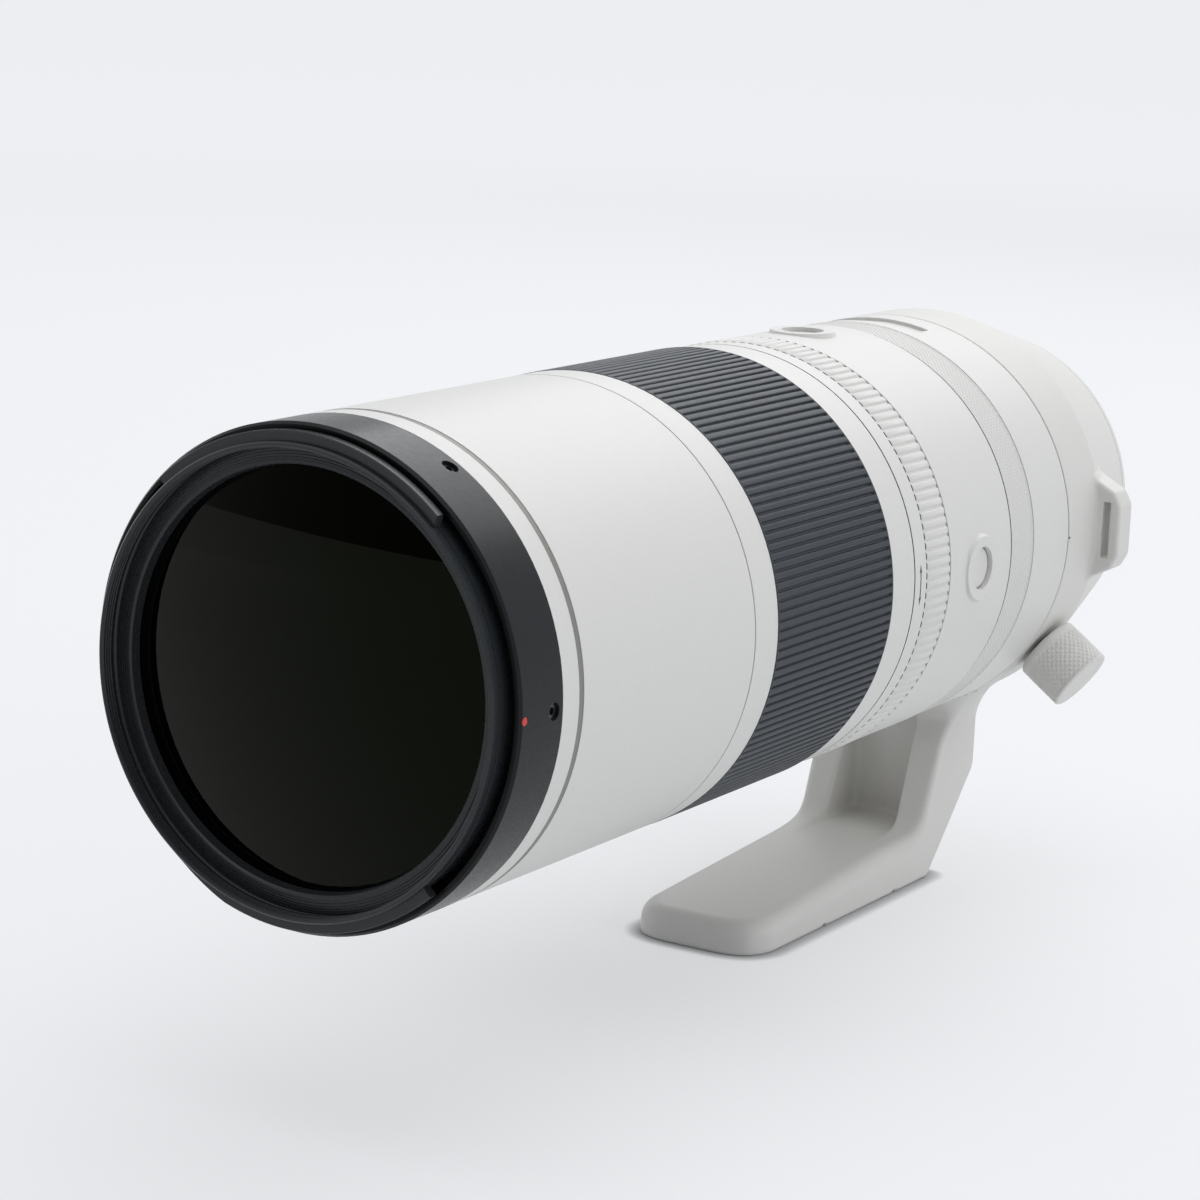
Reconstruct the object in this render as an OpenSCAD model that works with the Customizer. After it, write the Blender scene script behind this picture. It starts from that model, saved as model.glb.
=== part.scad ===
// Telephoto zoom lens with a rotating tripod collar.
// The optical axis runs along Y and the front faces -Y. The origin is the
// centre of the mount flange. A station is a distance in front of the flange,
// and an angle runs from +X towards +Z, so 90 is the top.

/* [Outer lengths, from the flange forward] */
// Length of the fixed rear cover
rear_cover_l = 4.2; // [3:0.1:8]
// Length of the collar's tapering rear part
collar_taper_l = 34.4; // [28:0.2:42]
// Length of the collar's straight band
collar_band_l = 18.6; // [17:0.2:28]
// Length of the band that carries the slide switches
switch_band_l = 20.3; // [18:0.1:28]
// Length of the knurled control ring
control_ring_l = 13.1; // [9:0.1:18]
// Length of the band that carries the function buttons
button_band_l = 32.8; // [30:0.2:44]
// Length of the zoom tension ring
tension_ring_l = 12.0; // [8:0.1:18]
// Length of the fixed band with the tension marks
index_band_l = 5.7; // [4:0.1:10]
// Length of the zoom ring's smooth rear lip
zoom_rear_lip = 11.3; // [6:0.1:16]
// Length of the rubber zoom grip
grip_l = 54.0; // [46:0.5:64]
// Length of the zoom ring's smooth front lip
zoom_front_lip = 9.6; // [6:0.1:16]
// Length of the white shroud of the extending barrel
shroud_l = 68.0; // [60:0.2:90]
// Width of the grey line in front of the shroud
trim_l = 1.8; // [0.8:0.1:3]
// Length of the white name ring
name_ring_l = 5.9; // [4:0.1:12]
// Length of the dark front ring
front_ring_l = 15.0; // [12:0.1:22]
// How far the filter lip stands in front of the dark ring
lip_l = 4.2; // [3:0.1:8]
// Gap between neighbouring rings that turn
seam = 0.4; // [0.2:0.05:0.8]

/* [Outer radii] */
// Radius of the barrel at the zoom ring and the front
barrel_r = 51.75; // [48:0.25:60]
// How much smaller the button band and index band are
mid_step = 0.35; // [0.1:0.05:0.5]
// How much smaller the rear bands and the collar are
rear_step = 0.65; // [0.3:0.05:0.7]
// Radius of the collar where its taper ends
taper_r = 42.7; // [41.5:0.1:46]
// Radius of the rear cover at the flange
cover_r = 41.7; // [38:0.1:44]

/* [Walls and clearances] */
// Radial gap between parts that run on each other
run = 0.3; // [0.2:0.05:0.5]
// Thickness of the rubber grip
grip_t = 1.75; // [1.4:0.05:3]
// Wall of the zoom ring under the grip
core_t = 0.5; // [0.4:0.05:1.2]
// Wall of the cam sleeve
cam_t = 0.7; // [0.5:0.05:1.5]
// Wall of the extension tube
ext_t = 2.2; // [1.4:0.1:2.6]
// Wall of the guide tube
guide_t = 1.5; // [1:0.1:2.5]
// Wall of the sleeve that carries the tension ring
sleeve_t = 0.45; // [0.3:0.05:0.6]
// Wall of the main tube
tube_t = 3.0; // [2.2:0.1:4]
// Glue gap between the cam sleeve and the zoom ring
bond = 0.05; // [0.02:0.01:0.15]
// Wall of the front lens cell
cell_t = 2.4; // [1.6:0.1:4]
// Wall of the inner zoom group's cell
variator_t = 8.2; // [4:0.1:12]
// Wall of the fixed relay group's cell
relay_t = 10.5; // [6:0.1:14]

/* [Zoom] */
// How far the front barrel extends
zoom_travel = 92; // [60:1:94]
// How far the zoom ring turns for that
zoom_turn = 120; // [70:1:140]
// How far the inner zoom group moves with it
variator_travel = 40; // [20:1:42]
// Diameter of the follower pins
pin_d = 4; // [3:0.1:5]
// Number of follower pins
pin_n = 3; // [2:1:4]
// Number of ribs around the grip
grip_ribs = 152; // [100:2:180]
// Depth of the grooves between the grip's ribs
grip_groove = 0.7; // [0.3:0.05:1.2]
// Number of ribs around the tension ring
tension_ribs = 139; // [80:1:160]
// Depth of the grooves between the tension ring's ribs
tension_groove = 0.3; // [0.2:0.05:0.5]

/* [Front end] */
// Wall of the filter lip round its thread
filter_wall = 1.2; // [0.8:0.05:1.4]
// Length of the filter thread
thread_l = 3.0; // [2:0.1:3.2]
// How much smaller the filter lip is than the extension tube
lip_step = 0.3; // [0.1:0.05:0.7]
// Height of the hood lugs above the lip
hood_lug_h = 2.0; // [1:0.1:2.2]
// Length of the hood lugs along the axis
hood_lug_l = 2.4; // [1.5:0.1:2.8]
// Angle that each hood lug spans
hood_lug_a = 85; // [60:1:100]
// Depth of the groove behind the hood lugs
hood_groove = 6.9; // [5:0.1:9]
// How far the front retaining ring covers the rim of the glass
retainer_w = 0.6; // [0.4:0.1:2]
// Length of the front retaining ring
retainer_l = 2.7; // [2:0.1:4]
// Radius of curvature of the front glass
front_curve = 260; // [220:5:500]
// Diameter of the set screws in the front ring
set_screw_d = 3.6; // [2.5:0.1:4.2]
// Number of set screws
set_screw_n = 6; // [3:1:8]

/* [Buttons and switches] */
// Diameter of the function button caps
button_d = 9.8; // [7:0.1:11]
// Diameter of the raised bezel round each button, where it leaves the barrel
bezel_d = 16; // [15:0.1:18]
// How far the button caps lie below the bezel's top
button_sink = 1.0; // [0.3:0.05:1.1]
// Travel of the function buttons
button_travel = 0.8; // [0.5:0.1:1.2]
// Travel of the slide switches
switch_travel = 3; // [2:0.1:5]

/* [Collar and foot] */
// Height of the optical axis above the foot's underside
axis_h = 94.2; // [88:0.2:110]
// Width of the foot
foot_w = 36; // [32:0.2:44]
// Station of the foot's rear face at the collar
foot_rear = 33.8; // [30:0.2:36]
// Depth of the foot's two legs at the collar
leg_l = 15.2; // [14:0.2:20]
// Thickness of each leg
leg_t = 7.8; // [7.2:0.1:9]
// How far the foot's underside runs in front of its rear corner
sole_l = 93; // [80:0.5:110]
// Thickness of the plate at its rear end
plate_t = 12.2; // [10.5:0.1:15]
// How much thinner the plate is at its front end
plate_fall = 4.4; // [2:0.1:4.5]
// Diameter of the collar's lock knob
knob_d = 17.6; // [13:0.2:18]
// Length of the lock knob
knob_l = 12.9; // [9:0.1:18]
// Angle of the lock knob
knob_a = -36; // [-50:1:-30]
// How far the strap lugs stand out from the collar
lug_h = 6.3; // [6:0.1:11]
// Width of the slot in the strap lugs
lug_slot_w = 2.0; // [1.2:0.1:2.2]
// Length of the slot in the strap lugs
lug_slot_l = 14.4; // [10:0.2:18]

/* [Mount] */
// Radius of the mount's throat
throat_r = 24; // [22:0.1:25]
// Outer radius of the mount flange
flange_r = 33; // [30:0.1:34]
// Thickness of the mount flange
flange_t = 2.6; // [2:0.1:4]
// How far the bayonet reaches behind the flange
bayonet_l = 4.6; // [4:0.1:6]

/* [Hidden] */
$fn = 96;

// Colours
white = [0.86, 0.86, 0.84];
dark = [0.24, 0.26, 0.28];
rubber = [0.28, 0.31, 0.34];
black = [0.08, 0.08, 0.09];
steel = [0.62, 0.63, 0.64];
brass = [0.72, 0.58, 0.28];
glass = [0.12, 0.16, 0.14];
green = [0.10, 0.32, 0.20];

// Stations of the outer rings
s_cover = rear_cover_l;
s_collar0 = s_cover + seam;
s_taper = s_collar0 + collar_taper_l;
s_collar1 = s_taper + collar_band_l;
s_switch0 = s_collar1 + seam;
s_switch1 = s_switch0 + switch_band_l;
s_control0 = s_switch1 + seam;
s_control1 = s_control0 + control_ring_l;
s_button0 = s_control1 + seam;
s_button1 = s_button0 + button_band_l;
s_tension0 = s_button1 + seam;
s_tension1 = s_tension0 + tension_ring_l;
s_index0 = s_tension1 + seam;
s_index1 = s_index0 + index_band_l;
s_zoom0 = s_index1 + seam;
s_grip0 = s_zoom0 + zoom_rear_lip;
s_grip1 = s_grip0 + grip_l;
s_zoom1 = s_grip1 + zoom_front_lip;
s_shroud0 = s_zoom1 + seam;
s_shroud1 = s_shroud0 + shroud_l;
s_trim1 = s_shroud1 + trim_l;
s_name1 = s_trim1 + name_ring_l;
s_front1 = s_name1 + front_ring_l;
s_lip = s_front1 + lip_l;

// Radii of the nested tubes, from the outside in
seat_step = 0.6;
mid_r = barrel_r - mid_step;
rear_r = barrel_r - rear_step;
core_r = barrel_r - grip_t;
cam_r = core_r - core_t;
cam_r0 = cam_r - cam_t;
ext_r = cam_r0 - run;
ext_r0 = ext_r - ext_t;
guide_r = ext_r0 - run;
guide_r0 = guide_r - guide_t;
tube_r0 = guide_r - tube_t;
shell_r0 = cam_r + run;
sleeve_r = shell_r0 + sleeve_t;
tension_r0 = sleeve_r + run;
control_r0 = rear_r - 1.9;
bearing_r = control_r0 - run;
collar_r0 = guide_r + run;
cell_r0 = ext_r0 - cell_t;
lip_r = ext_r - lip_step;
filter_r = lip_r - filter_wall;
seat_r = filter_r + seat_step;
clear_r = cell_r0 - retainer_w;

// Main tube
neck_r = 39.5;
neck_r0 = neck_r - tube_t;
s_neck0 = flange_t;
neck_floor = 3.4;
s_neck1 = 28;
s_cone1 = s_neck1 + 8;
web_t = 3;
web_r = 28;
s_web0 = 44;
s_web1 = s_web0 + web_t;
socket_l = 6;
s_socket0 = s_button0 + 1.8;
s_socket1 = s_socket0 + socket_l;
flange_l = 4;
board_t = 1.6;
board_w = 12;
s_board = s_cone1 + 2.5;
chip_w = 4.5;
chip_l = 8;
chip_t = 1.8;

// Zoom drive
s_guide1 = s_zoom1 - 0.8;
s_pin1 = s_zoom1 - 4.3;
s_pin = s_pin1 - zoom_travel;
s_ext0 = s_pin - pin_d / 2 - 1;
s_ext1 = s_name1 + 1.1;
s_cam0 = s_pin - pin_d / 2 - 3.5;
s_cam1 = s_zoom1 - 0.5;
pin_a0 = 30;
slot_clear = 0.3;
slot_end = pin_d / 2 + 0.7;
slot_step = zoom_turn / zoom_travel;

// Front end
s_cell1 = s_front1 - retainer_l;
s_glass1 = s_cell1 - 0.3;
glass_t = 6.7;
glass_rear_curve = -800;
doublet_curve = -300;
s_glass0 = s_glass1 - glass_t;
ledge_w = 1.6;
ledge_t = 4.2;
s_ledge0 = s_glass0 - ledge_t;
doublet_t = 6.5;
doublet_rear_t = 8;
cell_lip = 12.6;
s_doublet1 = s_ledge0 - 0.5;
s_doublet_mid = s_doublet1 - doublet_t;
s_doublet0 = s_doublet_mid - doublet_rear_t;
s_cell0 = s_doublet0 - cell_lip;
s_hood_floor = s_front1 - hood_groove;
hood_wall_r = barrel_r - 1.45;
s_hood_lug0 = s_front1 + 0.5;
s_set_screw = s_name1 + 3.1;

// Inner groups
element_gap = 3;
seat_l = 3;
seat_w = 1.5;
rear_element_r = 26;
rear_glass = [5, 6];
rear_curve = [-90, 70];
s_rear_cell1 = s_neck1 - 1;
rod_d = 3;
rod_pos_r = 34;
focus_r0 = 24;
focus_r = 30.5;
focus_l = 16;
s_focus0 = s_web1 + 17;
focus_travel = 8;
focus_rim = 1.5;
focus_glass = [3.5, 6];
focus_curve = [-120, -60];
motor_w = 12;
motor_l = 28;
motor_gap = 1.2;
motor_inner = 8;
s_relay0 = s_index0 - 1.4;
relay_l = 38.6;
s_relay1 = s_relay0 + relay_l;
relay_r0 = guide_r0 - relay_t;
relay_glass = [9, 9, 6];
relay_curve = [110, 150, -160];
stab_l = 5;
s_stab1 = s_relay0 - run;
s_stab0 = s_stab1 - stab_l;
stab_r = relay_r0 + 3;
stab_r0 = stab_r - 10;
stab_glass_r = stab_r0 - 7;
stab_curve = [-140, -300];
stab_shift = 1;
iris_l = 6;
iris_r = guide_r0 - 2.5;
iris_n = 9;
blade_t = 0.2;
blade_pitch = 0.36;
variator_l = 28;
s_variator0 = s_relay1 + iris_l + 15;
variator_r = guide_r0 - run;
variator_r0 = variator_r - variator_t;
variator_glass = [9, 8];
variator_curve = [-220, -300, 140];

// Buttons and switches
s_button = s_button0 + 16.5;
bezel_h = 0.5;
bezel_r = mid_r + bezel_h;
bezel_skirt = 1.0;
bezel_slope = 0.5;
button_gap = 0.3;
button_top_r = bezel_r - button_sink;
button_flange_t = 0.45;
button_flange_d = button_d + 2.1;
button_flange_r = shell_r0 + 0.05;
button_pocket_r = button_flange_r + button_flange_t + 0.25;
switch_w = 4.4;
s_switch_mid = s_switch1 - 6.2 - switch_travel / 2;
switch_a = [112, 126];
panel_a0 = 75;
panel_a1 = 137;
panel_l = switch_w + switch_travel + 0.6;
panel_r = rear_r - 0.8;
switch_cavity_r = rear_r - 2.2;
stem_w = 2.4;
stem_l = 3.4;

// Foot
foot_z = -axis_h;
s_sole0 = foot_rear + 23.9;
s_sole1 = s_sole0 + sole_l;
knee_z = foot_z + 25.1;
plate_z = foot_z + plate_t;
tip_z = plate_z - plate_fall;
nose_l = 2;
leg_front = foot_rear + leg_l;
foot_top_z = -rear_r + 6;
recess_w = foot_w - 2 * leg_t;
s_recess = foot_rear + 14;
foot_corner_r = 12;
foot_chamfer = 3.5;
groove_w = 1.4;
groove_h = 0.9;
groove_rear = 19.4;
groove_front = 56.8;
insert_w = 20;
insert_t = 6.5;
s_insert0 = s_sole0 + 26;
insert_l = 46;
quarter_r = 2.55;
three_eighths_r = 4.0;
s_quarter = s_insert0 + insert_l - 12;
s_three_eighths = s_insert0 + 14;
foot_screw_d = 4;
foot_screw_head_d = 6.4;
foot_screw_head_t = 1.6;
foot_screw_l = 16;
foot_socket_d = 3.4;
foot_socket_floor = 0.6;
foot_screw_x = foot_w / 2 - leg_t / 2;
foot_screw_first = 4;
foot_screw_pitch = 7.4;
foot_screw_sink = 0.6;
foot_screw_s = [foot_rear + foot_screw_first, foot_rear + foot_screw_first + foot_screw_pitch];
foot_screw_z = -collar_r0 + foot_screw_sink;

// Lock
s_knob = s_taper + 8.5;
knob_r0 = rear_r + 1.2;
knob_bevel = 0.5;
stud_d = 6;
shoe_d = 8.2;
shoe_t = 1.6;
shoe_r = guide_r + 0.6;
shoe_pocket_r = shoe_r + shoe_t + 0.6;

// Strap lugs
s_lug1 = s_taper + 2;
lug_l = 8;
lug_root = 13;
lug_tip = 5.2;

// Mount
bayonet_wall = 1.4;
bayonet_lug_h = 1.4;
bayonet_lug_t = 1.8;
bayonet_lug_a = 50;
bayonet_n = 3;
bayonet_a0 = 65;
mount_screw_n = 4;
mount_screw_r = (throat_r + flange_r) / 2 + 1;
mount_screw_d = 2;
mount_screw_head_d = 4;
mount_screw_head_t = 0.8;
mount_screw_l = 6;
gasket_t = 1;
gasket_w = 1.2;
cover_rear = 0.4;
contact_n = 12;
contact_a = 50;
contact_block_t = 3.4;

// Turns a shape made round Z so that its axis is the optical axis
module along() { rotate([90, 0, 0]) children(); }

// Places children at an angle and a station with +Z pointing outward
module at(a, s) { translate([0, -s, 0]) rotate([0, 90 - a, 0]) children(); }

// Solid of revolution from points of radius and station
module lathe(pts) { along() rotate_extrude() polygon(pts); }

// Plain ring between two stations
module ring(s0, s1, r0, r1) {
    lathe([[r0, s0], [r1, s0], [r1, s1], [r0, s1]]);
}

// Part of a ring that starts at angle a0
module ring_part(s0, s1, r0, r1, a0, span) {
    along() rotate([0, 0, a0]) rotate_extrude(angle = span)
        polygon([[r0, s0], [r1, s0], [r1, s1], [r0, s1]]);
}

// Cylinder along the axis, off the centre
module rod(s0, s1, r, d, a) {
    along() rotate([0, 0, a]) translate([r, 0, s0]) cylinder(d = d, h = s1 - s0);
}

// Radial cylinder between two radii
module radial(a, s, r0, r1, d) {
    at(a, s) translate([0, 0, r0]) cylinder(d = d, h = r1 - r0);
}

// Box whose height runs outward
module radial_box(a, s, r0, r1, w, l) {
    at(a, s) translate([-w / 2, -l / 2, r0]) cube([w, l, r1 - r0]);
}

function sag(c, r) = abs(c) - sqrt(c * c - r * r);

// Half section of a round glass: a curve over zero bulges, under zero is hollow
module lens_half(s0, s1, r, front, rear) {
    f = front == 0 ? 0 : sag(front, r);
    b = rear == 0 ? 0 : sag(rear, r);
    rise = front > 0 ? f : 0;
    drop = rear > 0 ? b : 0;
    difference() {
        intersection() {
            translate([0, s0 - drop]) square([r, s1 - s0 + rise + drop]);
            if (front > 0) translate([0, s1 + f - front]) circle(r = front, $fn = 720);
            if (rear > 0) translate([0, s0 - b + rear]) circle(r = rear, $fn = 720);
        }
        if (front < 0) translate([0, s1 - f - front]) circle(r = -front, $fn = 720);
        if (rear < 0) translate([0, s0 + b + rear]) circle(r = -rear, $fn = 720);
    }
}

module lens(s0, s1, r, front, rear) {
    along() rotate_extrude() lens_half(s0, s1, r, front, rear);
}

// Outline of a ring with flat-topped ribs: share is the rib's part of a pitch
function rib_points(r, depth, n, share) = [
    for (i = [0 : n - 1], k = [0 : 3])
        let (pitch = 360 / n)
        let (half = pitch * share / 2)
        let (slope = pitch * 0.06)
        let (a = i * pitch + [-half - slope, -half, half, half + slope][k])
        let (q = (k == 0 || k == 3) ? r - depth : r)
        [q * cos(a), q * sin(a)]
];

module ribbed_ring(s0, s1, r0, r1, depth, n, share) {
    along() translate([0, 0, s0]) linear_extrude(s1 - s0) difference() {
        polygon(rib_points(r1, depth, n, share));
        circle(r = r0, $fn = 360);
    }
}

// Mount

module mount_ring() {
    step = 360 / bayonet_n;
    color(steel) difference() {
        union() {
            lathe([
                [throat_r, -bayonet_l], [throat_r + bayonet_wall, -bayonet_l],
                [throat_r + bayonet_wall, 0], [flange_r, 0],
                [flange_r, flange_t], [throat_r, flange_t]
            ]);
            for (i = [0 : bayonet_n - 1])
                ring_part(-bayonet_l + 0.4, -bayonet_l + 0.4 + bayonet_lug_t,
                    throat_r + bayonet_wall - 0.2, throat_r + bayonet_wall + bayonet_lug_h,
                    i * step + bayonet_a0, bayonet_lug_a);
        }
        for (i = [0 : mount_screw_n - 1]) {
            a = 45 + i * 360 / mount_screw_n;
            rod(-1, flange_t + 1, mount_screw_r, mount_screw_d, a);
            rod(-1, mount_screw_head_t, mount_screw_r, mount_screw_head_d, a);
        }
        // hole for the lock pin
        rod(-1, 1.6, mount_screw_r, 3, 12);
    }
}

module mount_screws() {
    color(steel) for (i = [0 : mount_screw_n - 1]) {
        a = 45 + i * 360 / mount_screw_n;
        difference() {
            union() {
                rod(0.05, mount_screw_head_t, mount_screw_r, mount_screw_head_d, a);
                rod(mount_screw_head_t, mount_screw_l, mount_screw_r, mount_screw_d, a);
            }
            rod(-1, 0.45, mount_screw_r, 1.4, a);
        }
    }
}

module mount_gasket() {
    color(black) ring(cover_rear - gasket_t, cover_rear, flange_r, flange_r + gasket_w);
}

module contact_block() {
    color(black) ring_part(-contact_block_t, 1.5, throat_r - 3.4, throat_r,
        270 - contact_a / 2 - 5, contact_a + 10);
}

module contact_pins() {
    color(brass) for (i = [0 : contact_n - 1])
        rod(-contact_block_t - 0.5, -contact_block_t, throat_r - 1.7, 1.1,
            270 - contact_a / 2 + i * contact_a / (contact_n - 1));
}

module rear_cover() {
    color(white) lathe([
        [flange_r, cover_rear], [cover_r - 0.5, cover_rear], [cover_r, cover_rear + 0.5],
        [taper_r - 0.1, s_cover], [neck_r, s_cover], [neck_r, s_neck0], [flange_r, s_neck0]
    ]);
}

// Fixed tubes

module main_tube() {
    color(dark) difference() {
        lathe([
            [throat_r + 0.5, s_neck0], [neck_r, s_neck0], [neck_r, s_neck1],
            [guide_r, s_cone1], [guide_r, s_socket0], [guide_r0, s_socket0],
            [guide_r0, s_socket1], [web_r, s_socket1], [web_r, s_socket1 - web_t],
            [tube_r0, s_socket1 - web_t], [tube_r0, s_web1], [web_r, s_web1],
            [web_r, s_web0], [tube_r0, s_web0], [tube_r0, s_cone1 + 1.5],
            [neck_r0, s_neck1 + 1.5], [neck_r0, s_neck0 + neck_floor],
            [throat_r + 0.5, s_neck0 + neck_floor]
        ]);
        for (i = [0 : mount_screw_n - 1])
            rod(s_neck0 - 1, mount_screw_l, mount_screw_r, mount_screw_d,
                45 + i * 360 / mount_screw_n);
        for (a = [90, 270]) rod(s_web0 - 1, s_socket1 + 1, rod_pos_r, rod_d, a);
    }
}

module guide_tube() {
    color(steel) difference() {
        ring(s_socket0, s_guide1, guide_r0, guide_r);
        for (i = [0 : pin_n - 1])
            at(pin_a0 + i * 360 / pin_n, 0)
                translate([-pin_d / 2 - slot_clear, -s_pin1 - slot_end, guide_r0 - 3])
                cube([pin_d + 2 * slot_clear, zoom_travel + 2 * slot_end, guide_t + 6]);
    }
}

module main_board() {
    color(green) {
        ring_part(s_board, s_board + board_t, tube_r0 - board_w, tube_r0, 300, 300);
        for (a = [20, 140])
            along() rotate([0, 0, a])
                translate([tube_r0 - board_w / 2 - chip_w, -chip_l / 2, s_board + board_t])
                cube([chip_w, chip_l, chip_t]);
    }
}

module switch_shell() {
    color(white) difference() {
        lathe([
            [guide_r, s_switch0], [rear_r, s_switch0], [rear_r, s_switch1],
            [bearing_r, s_switch1], [bearing_r, s_button0], [guide_r, s_button0],
            [guide_r, s_switch1 - 3], [switch_cavity_r, s_switch1 - 3],
            [switch_cavity_r, s_switch0 + 2], [guide_r, s_switch0 + 2]
        ]);
        ring_part(s_switch_mid - panel_l / 2, s_switch_mid + panel_l / 2, panel_r, rear_r + 2,
            panel_a0, panel_a1 - panel_a0);
        for (a = switch_a)
            radial_box(a, s_switch_mid, switch_cavity_r - 2, rear_r + 2,
                stem_w + 0.4, stem_l + switch_travel + 0.4);
    }
}

module button_shell() {
    color(white) difference() {
        union() {
            lathe([
                [guide_r, s_button0], [mid_r, s_button0], [mid_r, s_button1],
                [sleeve_r, s_button1], [sleeve_r, s_index0], [shell_r0, s_index0],
                [shell_r0, s_button0 + flange_l], [guide_r, s_button0 + flange_l]
            ]);
            for (a = [0, 90]) at(a, s_button) translate([0, 0, mid_r - bezel_skirt])
                cylinder(d1 = bezel_d + 2 * bezel_slope * bezel_skirt,
                    d2 = bezel_d - 2 * bezel_slope * bezel_h, h = bezel_skirt + bezel_h);
        }
        for (a = [0, 90]) {
            radial(a, s_button, shell_r0 - 5, bezel_r + 5, button_d + 2 * button_gap);
            radial(a, s_button, shell_r0 - 5, button_pocket_r, button_flange_d + 2 * button_gap);
        }
    }
}

module index_band() {
    color(white) ring(s_index0, s_index1, shell_r0, mid_r);
}

// Optical groups

module rear_cell() {
    s0 = s_neck0 + neck_floor;
    color(black) difference() {
        ring(s0, s_rear_cell1, rear_element_r - seat_w, neck_r0);
        ring(s0 + seat_l, s_rear_cell1 + 1, 0.1, rear_element_r);
        along() cylinder(r = 0.2, h = s_rear_cell1 + 1);
    }
}

module rear_elements() {
    s0 = s_neck0 + neck_floor + seat_l;
    s1 = s0 + rear_glass[0] + element_gap;
    color(glass) {
        lens(s0, s0 + rear_glass[0], rear_element_r, rear_curve[0], 0);
        lens(s1, s1 + rear_glass[1], rear_element_r, rear_curve[1], 0);
    }
}

module focus_rods() {
    color(steel) for (a = [90, 270]) rod(s_web0, s_socket1, rod_pos_r, rod_d, a);
}

module focus_motor() {
    color(black) radial_box(0, s_web1 + motor_l / 2, web_r + motor_inner, tube_r0 - motor_gap,
        motor_w, motor_l);
}

module focus_cell() {
    color(black) difference() {
        union() {
            ring(s_focus0, s_focus0 + focus_l, focus_r0, focus_r);
            for (a = [90, 270]) {
                rod(s_focus0, s_focus0 + focus_l, rod_pos_r, rod_d + 4.4, a);
                along() rotate([0, 0, a])
                    translate([focus_r - 1.5, -2.6, s_focus0]) cube([3, 5.2, focus_l]);
            }
        }
        for (a = [90, 270])
            rod(s_focus0 - 1, s_focus0 + focus_l + 1, rod_pos_r, rod_d + 0.1, a);
        along() translate([0, 0, s_focus0 - 1]) cylinder(r = focus_r0, h = focus_l + 2);
    }
}

module focus_elements() {
    s0 = s_focus0 + focus_rim;
    s1 = s0 + focus_glass[0];
    color(glass) {
        lens(s0, s1, focus_r0, focus_curve[0], 0);
        lens(s1, s1 + focus_glass[1], focus_r0, focus_curve[1], 0);
    }
}

module relay_cell() {
    color(black) difference() {
        ring(s_relay0, s_relay1, relay_r0 - seat_w, guide_r0);
        along() translate([0, 0, s_relay0 + seat_l]) cylinder(r = relay_r0, h = relay_l);
    }
}

module relay_elements() {
    s0 = s_relay0 + seat_l;
    s1 = s0 + relay_glass[0] + 2 * element_gap;
    s2 = s1 + relay_glass[1];
    color(glass) {
        lens(s0, s0 + relay_glass[0], relay_r0, relay_curve[0], 0);
        lens(s1, s2, relay_r0, 0, relay_curve[1]);
        lens(s2, s2 + relay_glass[2], relay_r0, relay_curve[2], 0);
    }
}

module iris_housing() {
    color(black) lathe([
        [relay_r0 - 8, s_relay1], [iris_r, s_relay1], [iris_r, s_relay1 + iris_l],
        [iris_r - 3, s_relay1 + iris_l], [iris_r - 3, s_relay1 + 1.5],
        [relay_r0 - 8, s_relay1 + 1.5]
    ]);
}

// Crescent blades, one above the other
module iris_blades() {
    blade_r = iris_r - 3.3;
    hole_r = relay_r0 - 12;
    color(steel) for (i = [0 : iris_n - 1])
        along() translate([0, 0, s_relay1 + 1.6 + i * blade_pitch])
            rotate([0, 0, i * 360 / iris_n]) linear_extrude(blade_t) difference() {
                intersection() {
                    circle(r = blade_r);
                    translate([0, -blade_r]) square([blade_r, 2 * blade_r]);
                }
                translate([-hole_r * 0.22, 0]) circle(r = hole_r * 1.22);
            }
}

module stab_slider() {
    color(dark) ring(s_stab0, s_stab1, stab_r0, stab_r);
}

module stab_cell() {
    color(black) difference() {
        lathe([
            [stab_glass_r, s_stab0 - 2], [stab_r0 + 3, s_stab0 - 2],
            [stab_r0 + 3, s_stab0 - run], [stab_r0 - 0.8, s_stab0 - run],
            [stab_r0 - 0.8, s_stab1], [stab_glass_r, s_stab1]
        ]);
        along() cylinder(r = 0.1, h = 1);
    }
}

module stab_element() {
    color(glass) lens(s_stab0 - stab_shift, s_stab1 - stab_shift, stab_glass_r,
        stab_curve[0], stab_curve[1]);
}

module variator_cell() {
    color(black) difference() {
        ring(s_variator0, s_variator0 + variator_l, variator_r0 - seat_w, variator_r);
        along() translate([0, 0, s_variator0 + seat_l])
            cylinder(r = variator_r0, h = variator_l);
    }
}

module variator_elements() {
    s0 = s_variator0 + seat_l;
    s1 = s0 + variator_glass[0];
    s2 = s1 + element_gap;
    color(glass) {
        lens(s0, s1, variator_r0, variator_curve[0], variator_curve[1]);
        lens(s2, s2 + variator_glass[1], variator_r0, variator_curve[2], 0);
    }
}

// Tripod collar

module collar_body() {
    lathe([
        [0, s_collar0], [taper_r, s_collar0], [rear_r, s_taper], [rear_r, s_collar1],
        [0, s_collar1]
    ]);
}

module collar_ring() {
    color(white) difference() {
        lathe([
            [neck_r + run, s_collar0], [taper_r, s_collar0], [rear_r, s_taper],
            [rear_r, s_collar1 - 0.4], [rear_r - 0.4, s_collar1], [collar_r0, s_collar1],
            [collar_r0, s_cone1 - 0.6],
            [neck_r + run, s_neck1 - 0.6]
        ]);
        radial(knob_a, s_knob, collar_r0 - 3, rear_r + 3, stud_d + 0.4);
        radial(knob_a, s_knob, collar_r0 - 3, shoe_pocket_r, shoe_d + 0.4);
        for (x = [-1, 1], s = foot_screw_s) translate([x * foot_screw_x, -s, foot_screw_z]) {
            translate([0, 0, -30]) cylinder(d = foot_screw_d, h = 30);
            translate([0, 0, -foot_screw_head_t]) cylinder(d = foot_screw_head_d, h = 12);
        }
    }
}

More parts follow.
